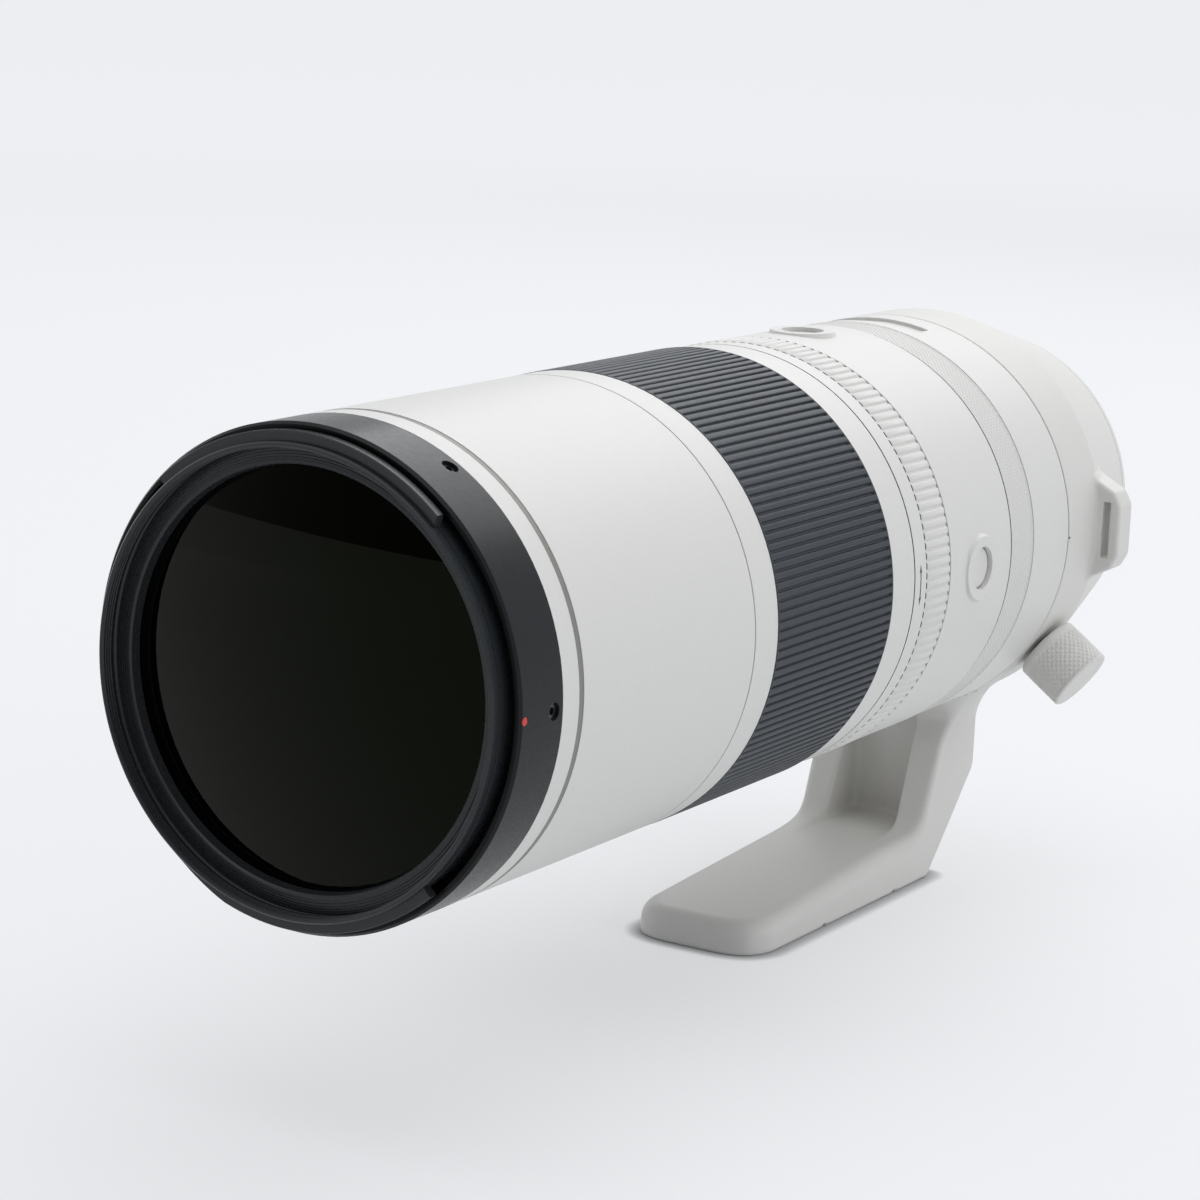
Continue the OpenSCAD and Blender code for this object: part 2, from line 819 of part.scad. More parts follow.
module strap_lugs() {
    tip_x = rear_r + lug_h;
    color(white) for (side = [0, 1]) mirror([side, 0, 0]) difference() {
        along() translate([0, 0, s_lug1 - lug_l]) linear_extrude(lug_l) difference() {
            polygon([
                [taper_r, -lug_root - 1], [rear_r - 1.6, -lug_root],
                [tip_x - 2.4, -lug_tip - 4.6], [tip_x - 0.4, -lug_tip - 2.6], [tip_x, -lug_tip],
                [tip_x, lug_tip], [tip_x - 0.4, lug_tip + 2.6], [tip_x - 2.4, lug_tip + 4.6],
                [rear_r - 1.6, lug_root], [taper_r, lug_root + 1]
            ]);
            translate([rear_r + 1.6, -lug_slot_l / 2]) square([lug_slot_w, lug_slot_l]);
        }
        collar_body();
    }
}

// Side view of the foot: station and height
module foot_side() {
    polygon([
        [foot_rear, foot_top_z], [foot_rear, knee_z], [s_sole0, foot_z],
        [s_sole1 - nose_l, foot_z], [s_sole1 - 0.5, foot_z + 1.2], [s_sole1, foot_z + 2.8],
        [s_sole1 - 0.6, tip_z - 2.4], [s_sole1 - 2.4, tip_z - 0.6], [s_sole1 - 5, tip_z],
        [leg_front + 22, plate_z], [leg_front + 17, plate_z + 0.8],
        [leg_front + 14.1, plate_z + 3], [leg_front + 5.6, knee_z + 10],
        [leg_front + 1.4, knee_z + 14.2], [leg_front, knee_z + 17], [leg_front, foot_top_z]
    ]);
}

// Plan of the foot with its two round front corners
module foot_plan() {
    w = foot_w / 2;
    translate([-w, -s_sole1 + foot_corner_r]) square([foot_w, s_sole1 - foot_corner_r]);
    translate([-w + foot_corner_r, -s_sole1])
        square([foot_w - 2 * foot_corner_r, foot_corner_r + 1]);
    for (x = [-1, 1])
        translate([x * (w - foot_corner_r), -s_sole1 + foot_corner_r]) circle(r = foot_corner_r);
}

module tripod_foot() {
    fall_a = atan(plate_fall / (s_sole1 - 5 - leg_front - 22));
    color(white) difference() {
        intersection() {
            difference() {
                rotate([90, 0, -90]) linear_extrude(foot_w, center = true) foot_side();
                collar_body();
            }
            translate([0, 0, foot_z]) linear_extrude(axis_h) foot_plan();
        }
        // recess between the legs, open to the front
        translate([-recess_w / 2, -s_sole1 - 1, plate_z])
            cube([recess_w, s_sole1 + 1 - s_recess, axis_h]);
        // bevels along the plate's upper edges
        for (x = [-1, 1])
            translate([x * foot_w / 2, -leg_front - 22, plate_z]) rotate([fall_a, 0, 0])
                rotate([0, 45, 0]) translate([-foot_chamfer / 2, -sole_l, -foot_chamfer / 2])
                cube([foot_chamfer, sole_l, foot_chamfer]);
        // cross grooves in the sole
        for (s = [s_sole0 + groove_rear, s_sole0 + groove_front])
            translate([-foot_w, -s - groove_w / 2, foot_z - 1])
                cube([2 * foot_w, groove_w, groove_h + 1]);
        translate([-insert_w / 2, -s_insert0 - insert_l, foot_z - 1])
            cube([insert_w, insert_l, insert_t + 1]);
        for (x = [-1, 1], s = foot_screw_s)
            translate([x * foot_screw_x, -s, foot_screw_z - foot_screw_head_t - foot_screw_l])
                cylinder(d = foot_screw_d, h = foot_screw_l);
    }
}

module foot_screws() {
    color(steel) for (x = [-1, 1], s = foot_screw_s)
        translate([x * foot_screw_x, -s, foot_screw_z - foot_screw_head_t]) {
            translate([0, 0, -foot_screw_l]) cylinder(d = foot_screw_d, h = foot_screw_l);
            difference() {
                cylinder(d = foot_screw_head_d, h = foot_screw_head_t);
                translate([0, 0, foot_socket_floor])
                    cylinder(d = foot_socket_d, h = foot_screw_head_t, $fn = 6);
            }
        }
}

module foot_insert() {
    color(steel) difference() {
        translate([-insert_w / 2, -s_insert0 - insert_l, foot_z])
            cube([insert_w, insert_l, insert_t]);
        translate([0, -s_quarter, foot_z - 1]) cylinder(r = quarter_r, h = insert_t + 2);
        translate([0, -s_three_eighths, foot_z - 1])
            cylinder(r = three_eighths_r, h = insert_t + 2);
        translate([-insert_w, -s_sole0 - groove_front - groove_w / 2, foot_z - 1])
            cube([2 * insert_w, groove_w, groove_h + 1]);
    }
}

module lock_knob() {
    r = knob_d / 2;
    color(white) at(knob_a, s_knob) translate([0, 0, knob_r0]) rotate_extrude() polygon([
        [0, 0], [r - knob_bevel, 0], [r, knob_bevel], [r, knob_l - knob_bevel],
        [r - knob_bevel, knob_l], [0, knob_l]
    ]);
}

module lock_stud() {
    color(steel) radial(knob_a, s_knob, shoe_r + shoe_t + 0.15, knob_r0, stud_d);
}

module lock_shoe() {
    color(brass) radial(knob_a, s_knob, shoe_r, shoe_r + shoe_t, shoe_d);
}

// Rings that turn

module control_ring() {
    color(white) lathe([
        [control_r0, s_control0], [rear_r - 0.1, s_control0], [rear_r + 0.1, s_control0 + 0.3],
        [rear_r + 0.1, s_control1 - 0.5], [rear_r - 0.4, s_control1], [control_r0, s_control1]
    ]);
}

module tension_ring() {
    color(white)
        ribbed_ring(s_tension0, s_tension1, tension_r0, mid_r + 0.15, tension_groove,
            tension_ribs, 0.72);
}

module zoom_ring() {
    color(white) lathe([
        [cam_r, s_zoom0], [mid_r, s_zoom0], [mid_r, s_grip0], [core_r, s_grip0],
        [core_r, s_grip1], [barrel_r, s_grip1], [barrel_r, s_zoom1], [cam_r, s_zoom1]
    ]);
}

module zoom_grip() {
    color(rubber)
        ribbed_ring(s_grip0, s_grip1, core_r, barrel_r + 0.1, grip_groove, grip_ribs, 0.68);
}

// One slot of the cam sleeve, wound so that the pins stay in line
module cam_slot(a) {
    lean = atan(slot_step * PI / 180 * cam_r);
    half = (pin_d / 2 + slot_clear) / cos(lean) / cam_r0 * 180 / PI;
    r0 = cam_r0 - 1;
    r1 = cam_r + 1;
    span = zoom_travel + 2 * slot_end;
    along() translate([0, 0, s_pin - slot_end]) rotate([0, 0, a + slot_end * slot_step])
        linear_extrude(span, twist = span * slot_step, slices = 40, $fn = 4)
        polygon([
            for (k = [-1, 1]) [r0 * cos(k * half), r0 * sin(k * half)],
            for (k = [1, -1]) [r1 * cos(k * half), r1 * sin(k * half)]
        ]);
}

module cam_sleeve() {
    color(brass) difference() {
        ring(s_cam0, s_cam1, cam_r0, cam_r - bond);
        for (i = [0 : pin_n - 1]) cam_slot(pin_a0 + i * 360 / pin_n);
    }
}

// Front barrel, which slides

module extension_tube() {
    color(white) difference() {
        ring(s_ext0, s_ext1, ext_r0, ext_r);
        for (i = [0 : pin_n - 1])
            radial(pin_a0 + i * 360 / pin_n, s_pin, ext_r0 - 2, ext_r + 2, pin_d);
    }
}

module cam_followers() {
    color(brass) for (i = [0 : pin_n - 1])
        radial(pin_a0 + i * 360 / pin_n, s_pin, guide_r0 + 0.15, cam_r - 0.1, pin_d);
}

module front_shroud() {
    wall_r0 = ext_r + 1.1;
    color(white) lathe([
        [wall_r0, s_shroud0], [barrel_r, s_shroud0], [barrel_r, s_shroud1], [ext_r, s_shroud1],
        [ext_r, s_shroud1 - 8], [wall_r0, s_shroud1 - 8]
    ]);
}

module trim_ring() {
    color(steel) ring(s_shroud1, s_trim1, ext_r, barrel_r - 0.1);
}

module name_ring() {
    color(white) ring(s_trim1, s_name1, ext_r, barrel_r);
}

module front_ring() {
    color(dark) difference() {
        lathe([
            [ext_r, s_name1], [barrel_r, s_name1], [barrel_r, s_front1 - 0.7],
            [barrel_r - 0.6, s_front1], [hood_wall_r, s_front1], [hood_wall_r, s_hood_floor],
            [ext_r, s_hood_floor]
        ]);
        for (i = [0 : set_screw_n - 1])
            radial(i * 360 / set_screw_n, s_set_screw, ext_r + 1.1, barrel_r + 2, set_screw_d);
    }
}

module set_screws() {
    color(black) for (i = [0 : set_screw_n - 1]) difference() {
        radial(i * 360 / set_screw_n, s_set_screw, ext_r + 1.1, barrel_r - 0.7, set_screw_d);
        radial(i * 360 / set_screw_n, s_set_screw, barrel_r - 1.5, barrel_r + 2, 1.6);
    }
}

module filter_ring() {
    color(dark) union() {
        lathe([
            [seat_r, s_ext1], [ext_r, s_ext1], [ext_r, s_hood_floor], [lip_r, s_hood_floor],
            [lip_r, s_lip], [filter_r + 0.3, s_lip], [filter_r, s_lip - 0.3],
            [filter_r, s_lip - 0.3 - thread_l], [seat_r, s_lip - 0.3 - thread_l]
        ]);
        for (a = [90, 270])
            ring_part(s_hood_lug0, s_hood_lug0 + hood_lug_l, lip_r - 0.3, lip_r + hood_lug_h,
                a - hood_lug_a / 2, hood_lug_a);
    }
}

module front_retainer() {
    color(black) ring(s_cell1, s_front1, clear_r, seat_r);
}

module front_cell() {
    color(black) difference() {
        ring(s_cell0, s_cell1, cell_r0 - ledge_w, ext_r0);
        along() translate([0, 0, s_glass0]) cylinder(r = cell_r0, h = glass_t + retainer_l);
        along() translate([0, 0, s_doublet0])
            cylinder(r = cell_r0, h = s_ledge0 - s_doublet0);
    }
}

module front_element() {
    color(glass) lens(s_glass0, s_glass1, cell_r0, front_curve, glass_rear_curve);
}

module front_doublet() {
    color(glass) {
        lens(s_doublet_mid, s_doublet1, cell_r0, front_curve, 0);
        lens(s_doublet0, s_doublet_mid, cell_r0, 0, doublet_curve);
    }
}

// Buttons and switches

module function_button(a) {
    radial(a, s_button, button_flange_r + button_flange_t, button_top_r, button_d);
    radial(a, s_button, button_flange_r, button_flange_r + button_flange_t, button_flange_d);
}

module button_side() { color(white) function_button(0); }

module button_top() { color(white) function_button(90); }

module slide_switch(a) {
    s = s_switch_mid - switch_travel / 2;
    top = rear_r - 0.05;
    base = panel_r + 0.2;
    radial_box(a, s, base, top, switch_w, switch_w);
    radial_box(a, s, switch_cavity_r - 0.3, base, stem_w, stem_l);
    radial_box(a, s, switch_cavity_r - 1.2, switch_cavity_r - 0.3, 5, 5.6);
}

module switch_focus() { color(black) slide_switch(switch_a[0]); }

module switch_steady() { color(black) slide_switch(switch_a[1]); }

mount_ring();
mount_screws();
mount_gasket();
contact_block();
contact_pins();
rear_cover();
main_tube();
main_board();
rear_cell();
rear_elements();
focus_rods();
focus_motor();
focus_cell();
focus_elements();
switch_shell();
button_shell();
index_band();
guide_tube();
relay_cell();
relay_elements();
iris_housing();
iris_blades();
stab_slider();
stab_cell();
stab_element();
variator_cell();
variator_elements();
collar_ring();
strap_lugs();
tripod_foot();
foot_screws();
foot_insert();
lock_knob();
lock_stud();
lock_shoe();
control_ring();
tension_ring();
zoom_ring();
zoom_grip();
cam_sleeve();
extension_tube();
cam_followers();
front_shroud();
trim_ring();
name_ring();
front_ring();
set_screws();
filter_ring();
front_retainer();
front_cell();
front_element();
front_doublet();
button_side();
button_top();
switch_focus();
switch_steady();
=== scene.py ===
"""Looks of the telephoto zoom lens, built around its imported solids.

Lengths are written in millimetres and turned into metres when a mesh is made.
A station is a distance in front of the mount flange, along -Y, and an angle
runs from +X towards +Z.
"""
import math

import bmesh
import bpy
import numpy as np
from mathutils import Matrix, Vector


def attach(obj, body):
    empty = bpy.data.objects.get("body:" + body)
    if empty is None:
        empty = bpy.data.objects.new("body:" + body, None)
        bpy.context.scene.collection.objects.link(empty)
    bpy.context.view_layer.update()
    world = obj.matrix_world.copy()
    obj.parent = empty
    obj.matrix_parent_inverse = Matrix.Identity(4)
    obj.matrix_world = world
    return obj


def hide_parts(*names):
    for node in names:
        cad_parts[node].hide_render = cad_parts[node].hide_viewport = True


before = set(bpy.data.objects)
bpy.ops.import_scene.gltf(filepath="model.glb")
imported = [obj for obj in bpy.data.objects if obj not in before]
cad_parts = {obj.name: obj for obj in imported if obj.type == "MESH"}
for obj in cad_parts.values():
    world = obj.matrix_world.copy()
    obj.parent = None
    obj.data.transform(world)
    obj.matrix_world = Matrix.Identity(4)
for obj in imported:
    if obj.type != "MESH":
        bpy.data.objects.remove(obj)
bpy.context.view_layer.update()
MM = 0.001

# Stations and radii of the outer rings, as in the solids
COLLAR_REAR, TAPER_END, COLLAR_FRONT = 4.6, 39.0, 57.6
CONTROL = (78.7, 91.8)
TENSION = (125.4, 137.4)
INDEX = (137.8, 143.5)
GRIP = (155.2, 209.2)
FRONT_RING_END = 309.9
LIP_END = 314.1
BARREL_R, MID_R, REAR_R = 51.75, 51.4, 51.1
TAPER_R = 42.7
FOOT_Z = -94.2
BUTTON_S = 108.7
KNOB_ANGLE, KNOB_S, KNOB_R0, KNOB_L, KNOB_R = -36.0, 47.5, 52.3, 12.9, 8.8
# How far behind the front face of a ring the painted seam shade reaches
SEAM_LINE, COLLAR_LINE, CONTROL_LINE, FRONT_LINE = 0.08, 0.22, 0.85, 0.12


# Mesh helpers

def make_object(name, verts, faces, mat, sharp=32.0):
    """A mesh object from points in millimetres, with outward normals."""
    mesh = bpy.data.meshes.new(name)
    mesh.from_pydata((np.asarray(verts, float) * MM).tolist(), [], faces)
    bm = bmesh.new()
    bm.from_mesh(mesh)
    bmesh.ops.remove_doubles(bm, verts=bm.verts, dist=1e-7)
    bmesh.ops.recalc_face_normals(bm, faces=bm.faces)
    bm.to_mesh(mesh)
    bm.free()
    mesh.shade_smooth()
    mesh.set_sharp_from_angle(angle=math.radians(sharp))
    mesh.materials.append(mat)
    obj = bpy.data.objects.new(name, mesh)
    bpy.context.collection.objects.link(obj)
    return obj


def polar(r, station, angle):
    return (r * math.cos(angle), -station, r * math.sin(angle))


def revolve_points(profile, segments):
    """Points and faces of a closed profile of radius and station, turned round the axis."""
    n = len(profile)
    angles = np.arange(segments) * 2 * math.pi / segments
    verts = [polar(r, s, a) for a in angles for r, s in profile]
    faces = []
    for i in range(segments):
        j = (i + 1) % segments
        for k in range(n):
            m = (k + 1) % n
            faces.append((i * n + k, i * n + m, j * n + m, j * n + k))
    return verts, faces


def revolve(name, profile, mat, segments, sharp):
    return make_object(name, *revolve_points(profile, segments), mat, sharp)


def outward(angle_deg, station):
    """Matrix that sets a shape made round Z on the barrel, with Z pointing outward."""
    a = math.radians(angle_deg)
    z = Vector((math.cos(a), 0, math.sin(a)))
    y = Vector((0, -1, 0))
    x = y.cross(z)
    m = Matrix((x, y, z)).transposed().to_4x4()
    m.translation = Vector((0, -station, 0))
    return m


def placed(verts, matrix):
    return [tuple(matrix @ Vector(v)) for v in verts]


def polar_ring(name, rows, r_in, mat, sharp):
    """Ring whose outside is given by rows of (station, radii all round)."""
    count = len(rows[0][1])
    angles = np.arange(count) * 2 * math.pi / count
    verts = []
    stations = [rows[0][0]] + [row[0] for row in rows] + [rows[-1][0]]
    radii = [np.full(count, r_in)] + [row[1] for row in rows] + [np.full(count, r_in)]
    for s, r in zip(stations, radii):
        verts += list(zip(r * np.cos(angles), np.full(count, -s), r * np.sin(angles)))
    faces = []
    layers = len(stations)
    for k in range(layers):
        m = (k + 1) % layers
        for i in range(count):
            j = (i + 1) % count
            faces.append((k * count + i, m * count + i, m * count + j, k * count + j))
    return make_object(name, verts, faces, mat, sharp)


# Solids given by a distance function, turned into a mesh

def polygon_distance(px, py, points):
    """Signed distance to a closed polygon, negative inside."""
    best = np.full(np.broadcast(px, py).shape, 1e9)
    inside = np.zeros(best.shape, bool)
    n = len(points)
    for i in range(n):
        ax, ay = points[i]
        bx, by = points[(i + 1) % n]
        ex, ey = bx - ax, by - ay
        wx, wy = px - ax, py - ay
        t = np.clip((wx * ex + wy * ey) / (ex * ex + ey * ey + 1e-12), 0, 1)
        best = np.minimum(best, (wx - ex * t) ** 2 + (wy - ey * t) ** 2)
        cross = ((ay > py) != (by > py)) & (px < (bx - ax) * (py - ay) / (by - ay + 1e-12) + ax)
        inside ^= cross
    d = np.sqrt(best)
    return np.where(inside, -d, d)


def round_max(a, b, r):
    """Common part of two solids with an edge of radius r."""
    u, v = np.maximum(r + a, 0), np.maximum(r + b, 0)
    return np.minimum(-r, np.maximum(a, b)) + np.sqrt(u * u + v * v)


def round_min(a, b, r):
    """Union of two solids with a fillet of radius r."""
    u, v = np.maximum(r - a, 0), np.maximum(r - b, 0)
    return np.maximum(r, np.minimum(a, b)) - np.sqrt(u * u + v * v)


def fillet(points, radii, steps=8):
    """Polygon with its corners rounded."""
    out = []
    n = len(points)
    for i, r in enumerate(radii):
        p = np.array(points[i], float)
        if r <= 0:
            out.append(tuple(p))
            continue
        u = np.array(points[i - 1], float) - p
        v = np.array(points[(i + 1) % n], float) - p
        lu, lv = np.linalg.norm(u), np.linalg.norm(v)
        u, v = u / lu, v / lv
        half = math.acos(max(-1, min(1, float(u @ v)))) / 2
        reach = min(r / math.tan(half), 0.48 * lu, 0.48 * lv)
        r = reach * math.tan(half)
        axis = (u + v) / np.linalg.norm(u + v)
        centre = p + axis * (r / math.sin(half))
        a, b = p + u * reach - centre, p + v * reach - centre
        t0 = math.atan2(a[1], a[0])
        dt = (math.atan2(b[1], b[0]) - t0 + math.pi) % (2 * math.pi) - math.pi
        for k in range(steps + 1):
            t = t0 + dt * k / steps
            out.append((centre[0] + r * math.cos(t), centre[1] + r * math.sin(t)))
    return out


EDGES = [(a, b) for a in range(8) for b in range(a + 1, 8) if bin(a ^ b).count("1") == 1]


def corner(k):
    return np.array([k & 1, (k >> 1) & 1, (k >> 2) & 1])


SOLID_SHARP, PROBE = 60.0, 0.05


def solid_from_distance(name, distance, low, high, step, mat):
    """Surface of a distance function in a box, with its points moved onto the surface."""
    axes = [np.arange(lo, hi + step, step) for lo, hi in zip(low, high)]
    grid = np.meshgrid(*axes, indexing="ij", sparse=True)
    f = np.ascontiguousarray(np.broadcast_to(distance(*grid), [len(a) for a in axes]))
    neg = f < 0
    shape = np.array(f.shape) - 1
    total = np.zeros(shape, np.int8)
    for k in range(8):
        c = corner(k)
        total += neg[c[0]:c[0] + shape[0], c[1]:c[1] + shape[1], c[2]:c[2] + shape[2]]
    active = (total > 0) & (total < 8)
    cells = np.argwhere(active)
    index = np.full(shape, -1)
    index[active] = np.arange(len(cells))
    acc = np.zeros((len(cells), 3))
    hits = np.zeros(len(cells))
    for a, b in EDGES:
        ca, cb = corner(a), corner(b)
        fa = f[tuple((cells + ca).T)]
        fb = f[tuple((cells + cb).T)]
        cut = (fa < 0) != (fb < 0)
        t = np.where(cut, fa / np.where(cut, fa - fb, 1), 0)
        acc += np.where(cut[:, None], ca + t[:, None] * (cb - ca), 0)
        hits += cut
    pts = (cells + acc / hits[:, None]) * step + np.array(low)
    for _ in range(4):
        value = distance(*pts.T)
        grad = np.empty_like(pts)
        for k in range(3):
            shift = np.zeros(3)
            shift[k] = PROBE
            grad[:, k] = (distance(*(pts + shift).T) - distance(*(pts - shift).T)) / (2 * PROBE)
        size = np.maximum((grad * grad).sum(1), 0.3)
        move = -(value / size)[:, None] * grad
        pts = pts + np.clip(move, -0.4 * step, 0.4 * step)
    faces = []
    for axis in range(3):
        o1, o2 = [k for k in range(3) if k != axis]
        lo = [slice(1, -1)] * 3
        hi = [slice(1, -1)] * 3
        lo[axis], hi[axis] = slice(0, -1), slice(1, None)
        edge = np.argwhere(neg[tuple(lo)] != neg[tuple(hi)])
        base = edge.copy()
        base[:, o1] += 1
        base[:, o2] += 1
        quad = []
        for d1, d2 in ((1, 1), (0, 1), (0, 0), (1, 0)):
            q = base.copy()
            q[:, o1] -= d1
            q[:, o2] -= d2
            quad.append(index[tuple(q.T)])
        faces += np.stack(quad, 1).tolist()
    return make_object(name, pts, faces, mat, SOLID_SHARP)


# Materials

def new_material(name, colour, roughness, metallic=0.0):
    mat = bpy.data.materials.new(name)
    mat.use_nodes = True
    bsdf = mat.node_tree.nodes["Principled BSDF"]
    bsdf.inputs["Base Color"].default_value = (*colour, 1)
    bsdf.inputs["Roughness"].default_value = roughness
    bsdf.inputs["Metallic"].default_value = metallic
    return mat, mat.node_tree.nodes, mat.node_tree.links, bsdf


def calculate(nodes, links, operation, first, second):
    """Result of a math node on a socket and a number or second socket."""
    node = nodes.new("ShaderNodeMath")
    node.operation = operation
    links.new(first, node.inputs[0])
    if isinstance(second, (int, float)):
        node.inputs[1].default_value = second
    else:
        links.new(second, node.inputs[1])
    return node.outputs[0]


def length(nodes, links, vector):
    node = nodes.new("ShaderNodeVectorMath")
    node.operation = "LENGTH"
    links.new(vector, node.inputs[0])
    return node.outputs["Value"]


def mapped(nodes, links, value, start, end, low, high, smooth=False):
    """A value that runs from low to high while the given one runs from start to end."""
    node = nodes.new("ShaderNodeMapRange")
    if smooth:
        node.interpolation_type = "SMOOTHSTEP"
    for key, number in (("From Min", start), ("From Max", end), ("To Min", low), ("To Max", high)):
        node.inputs[key].default_value = number
    links.new(value, node.inputs["Value"])
    return node.outputs["Result"]


def coordinates(nodes, kind="Object"):
    return nodes.new("ShaderNodeTexCoord").outputs[kind]


def noise(nodes, links, scale, detail=3.0):
    """Noise in the object's own metres."""
    tex = nodes.new("ShaderNodeTexNoise")
    tex.inputs["Scale"].default_value = scale
    tex.inputs["Detail"].default_value = detail
    links.new(coordinates(nodes), tex.inputs["Vector"])
    return tex.outputs["Fac"]


def vary_colour(nodes, links, bsdf, dark, light, scale, detail=4.0):
    """Base colour that goes from dark to light with a noise."""
    ramp = nodes.new("ShaderNodeValToRGB")
    for element, position, colour in zip(ramp.color_ramp.elements, (0.3, 0.7), (dark, light)):
        element.position = position
        element.color = (*colour, 1)
    links.new(noise(nodes, links, scale, detail), ramp.inputs["Fac"])
    links.new(ramp.outputs["Color"], bsdf.inputs["Base Color"])
    return ramp.outputs["Color"]


def vary_roughness(nodes, links, bsdf, low, high, scale):
    span = mapped(nodes, links, noise(nodes, links, scale), 0, 1, low, high)
    links.new(span, bsdf.inputs["Roughness"])


def add_bump(nodes, links, bsdf, scale, strength, depth, edge=0.0):
    """Fine grain; edge is the radius, in metres, to which sharp edges are softened."""
    bump = nodes.new("ShaderNodeBump")
    bump.inputs["Strength"].default_value = strength
    bump.inputs["Distance"].default_value = depth
    links.new(noise(nodes, links, scale, 2.0), bump.inputs["Height"])
    if edge:
        soft = nodes.new("ShaderNodeBevel")
        soft.samples = 4
        soft.inputs["Radius"].default_value = edge
        links.new(soft.outputs["Normal"], bump.inputs["Normal"])
    links.new(bump.outputs["Normal"], bsdf.inputs["Normal"])


def outside_radius(nodes, links, radius):
    """One outside a radius round the axis, zero inside it."""
    flat = nodes.new("ShaderNodeVectorMath")
    flat.operation = "MULTIPLY"
    flat.inputs[1].default_value = (1, 0, 1)
    links.new(coordinates(nodes), flat.inputs[0])
    return calculate(nodes, links, "GREATER_THAN", length(nodes, links, flat.outputs["Vector"]), radius * MM)


def behind_station(nodes, links, station):
    """One behind a station, zero in front of it."""
    split = nodes.new("ShaderNodeSeparateXYZ")
    links.new(coordinates(nodes), split.inputs["Vector"])
    return calculate(nodes, links, "GREATER_THAN", split.outputs["Y"], -station * MM)


# Painted shade: a dark colour on the inner walls and front faces of rings, standing in for the shade in the
# seams between them
SEAM_SHADE = (0.075, 0.072, 0.065)
SOFT_EDGE = 0.00022


def painted(name, colour, spread, roughness, grain, grain_depth, specular=0.5, radius=None, station=None,
            shade_colour=SEAM_SHADE, edge=SOFT_EDGE):
    """Fine-grained paint with soft edges; inside a radius or in front of a station it turns dark, as painted
    shade of the seams.

    The spread is the share by which the colour varies, and the grain is the scale of its noise.
    """
    mat, nodes, links, bsdf = new_material(name, colour, roughness)
    bsdf.inputs["Specular IOR Level"].default_value = specular
    dark = [c * (1 - spread) for c in colour]
    light = [min(1, c * (1 + spread)) for c in colour]
    paint = vary_colour(nodes, links, bsdf, dark, light, grain * 0.6)
    if radius or station:
        mask = outside_radius(nodes, links, radius) if radius else behind_station(nodes, links, station)
        mix = nodes.new("ShaderNodeMix")
        mix.data_type = "RGBA"
        mix.inputs["A"].default_value = (*shade_colour, 1)
        links.new(mask, mix.inputs["Factor"])
        links.new(paint, mix.inputs["B"])
        links.new(mix.outputs["Result"], bsdf.inputs["Base Color"])
    vary_roughness(nodes, links, bsdf, roughness - 0.06, roughness + 0.06, grain * 0.2)
    add_bump(nodes, links, bsdf, grain, 0.35, grain_depth, edge)
    return mat


def brushed(name, colour, roughness):
    """Bare metal with fine turning marks."""
    mat, nodes, links, bsdf = new_material(name, colour, roughness, 1.0)
    vary_roughness(nodes, links, bsdf, roughness - 0.08, roughness + 0.1, 900)
    add_bump(nodes, links, bsdf, 2600, 0.15, 0.00002)
    return mat


def lens_glass(name, colour, tint):
    """Coated glass with a weak tinted reflection; its colour varies a little across the coating."""
    mat, nodes, links, bsdf = new_material(name, colour, 0.0)
    bsdf.inputs["Transmission Weight"].default_value = 1.0
    bsdf.inputs["IOR"].default_value = 1.5
    bsdf.inputs["Specular Tint"].default_value = (*tint, 1)
    vary_colour(nodes, links, bsdf, [c * 0.94 for c in colour], [c * 1.06 for c in colour], 9, 1.0)
    return mat


ENAMEL = (0.715, 0.704, 0.682)
CASTING = (0.70, 0.687, 0.66)
SHELL_WALL_R, TUBE_WALL_R = 50.28, 47.4


def enamel(name, roughness=0.46, **shade_at):
    return painted(name, ENAMEL, 0.02, roughness, 3200, 0.00003, **shade_at)


def casting(name, **shade_at):
    return painted(name, CASTING, 0.02, 0.50, 2600, 0.00004, **shade_at)


WHITE = enamel("enamel_white")
# These turn dark inside a radius or near a ring's front face: painted seam shade
WHITE_SHELL = enamel("enamel_shell", radius=SHELL_WALL_R)
WHITE_TUBE = enamel("enamel_tube", 0.44, radius=TUBE_WALL_R)
WHITE_INDEX = enamel("enamel_index", station=INDEX[1] - SEAM_LINE)
WHITE_TENSION = enamel("enamel_tension", station=TENSION[1] - SEAM_LINE)
WHITE_CONTROL = enamel("enamel_control", station=CONTROL[1] - CONTROL_LINE)
WHITE_COLLAR = casting("enamel_collar", station=COLLAR_FRONT - COLLAR_LINE)
WHITE_SOFT = casting("enamel_casting")
# Its front face is nearly black: painted shade of the gap between the front ring and the filter ring
FRONT_EDGED = painted("front_edged", (0.0125, 0.0142, 0.0165), 0.08, 0.27, 3000, 0.00002, specular=0.14,
                      station=FRONT_RING_END - FRONT_LINE, shade_colour=(0.004, 0.004, 0.004), edge=0.00025)
LIP_BLACK = painted("lip_black", (0.024, 0.027, 0.030), 0.06, 0.28, 3000, 0.000006, specular=0.3, edge=0)
INNER_BLACK = painted("inner_black", (0.004, 0.004, 0.0045), 0.1, 0.6, 2400, 0.00002, specular=0.06)
RUBBER = painted("grip_rubber", (0.037, 0.0425, 0.052), 0.1, 0.44, 2200, 0.00004, specular=0.22)
SEAL = painted("seal_rubber", (0.012, 0.012, 0.012), 0.1, 0.6, 2000, 0.00003)
TRIM = painted("trim_grey", (0.21, 0.205, 0.187), 0.05, 0.4, 2600, 0.00002)
PLASTIC = painted("black_plastic", (0.016, 0.016, 0.018), 0.1, 0.42, 2600, 0.00003)
BOARD = painted("board_green", (0.02, 0.12, 0.05), 0.15, 0.4, 1200, 0.00002)
MOUNT = brushed("mount_metal", (0.62, 0.61, 0.59), 0.28)
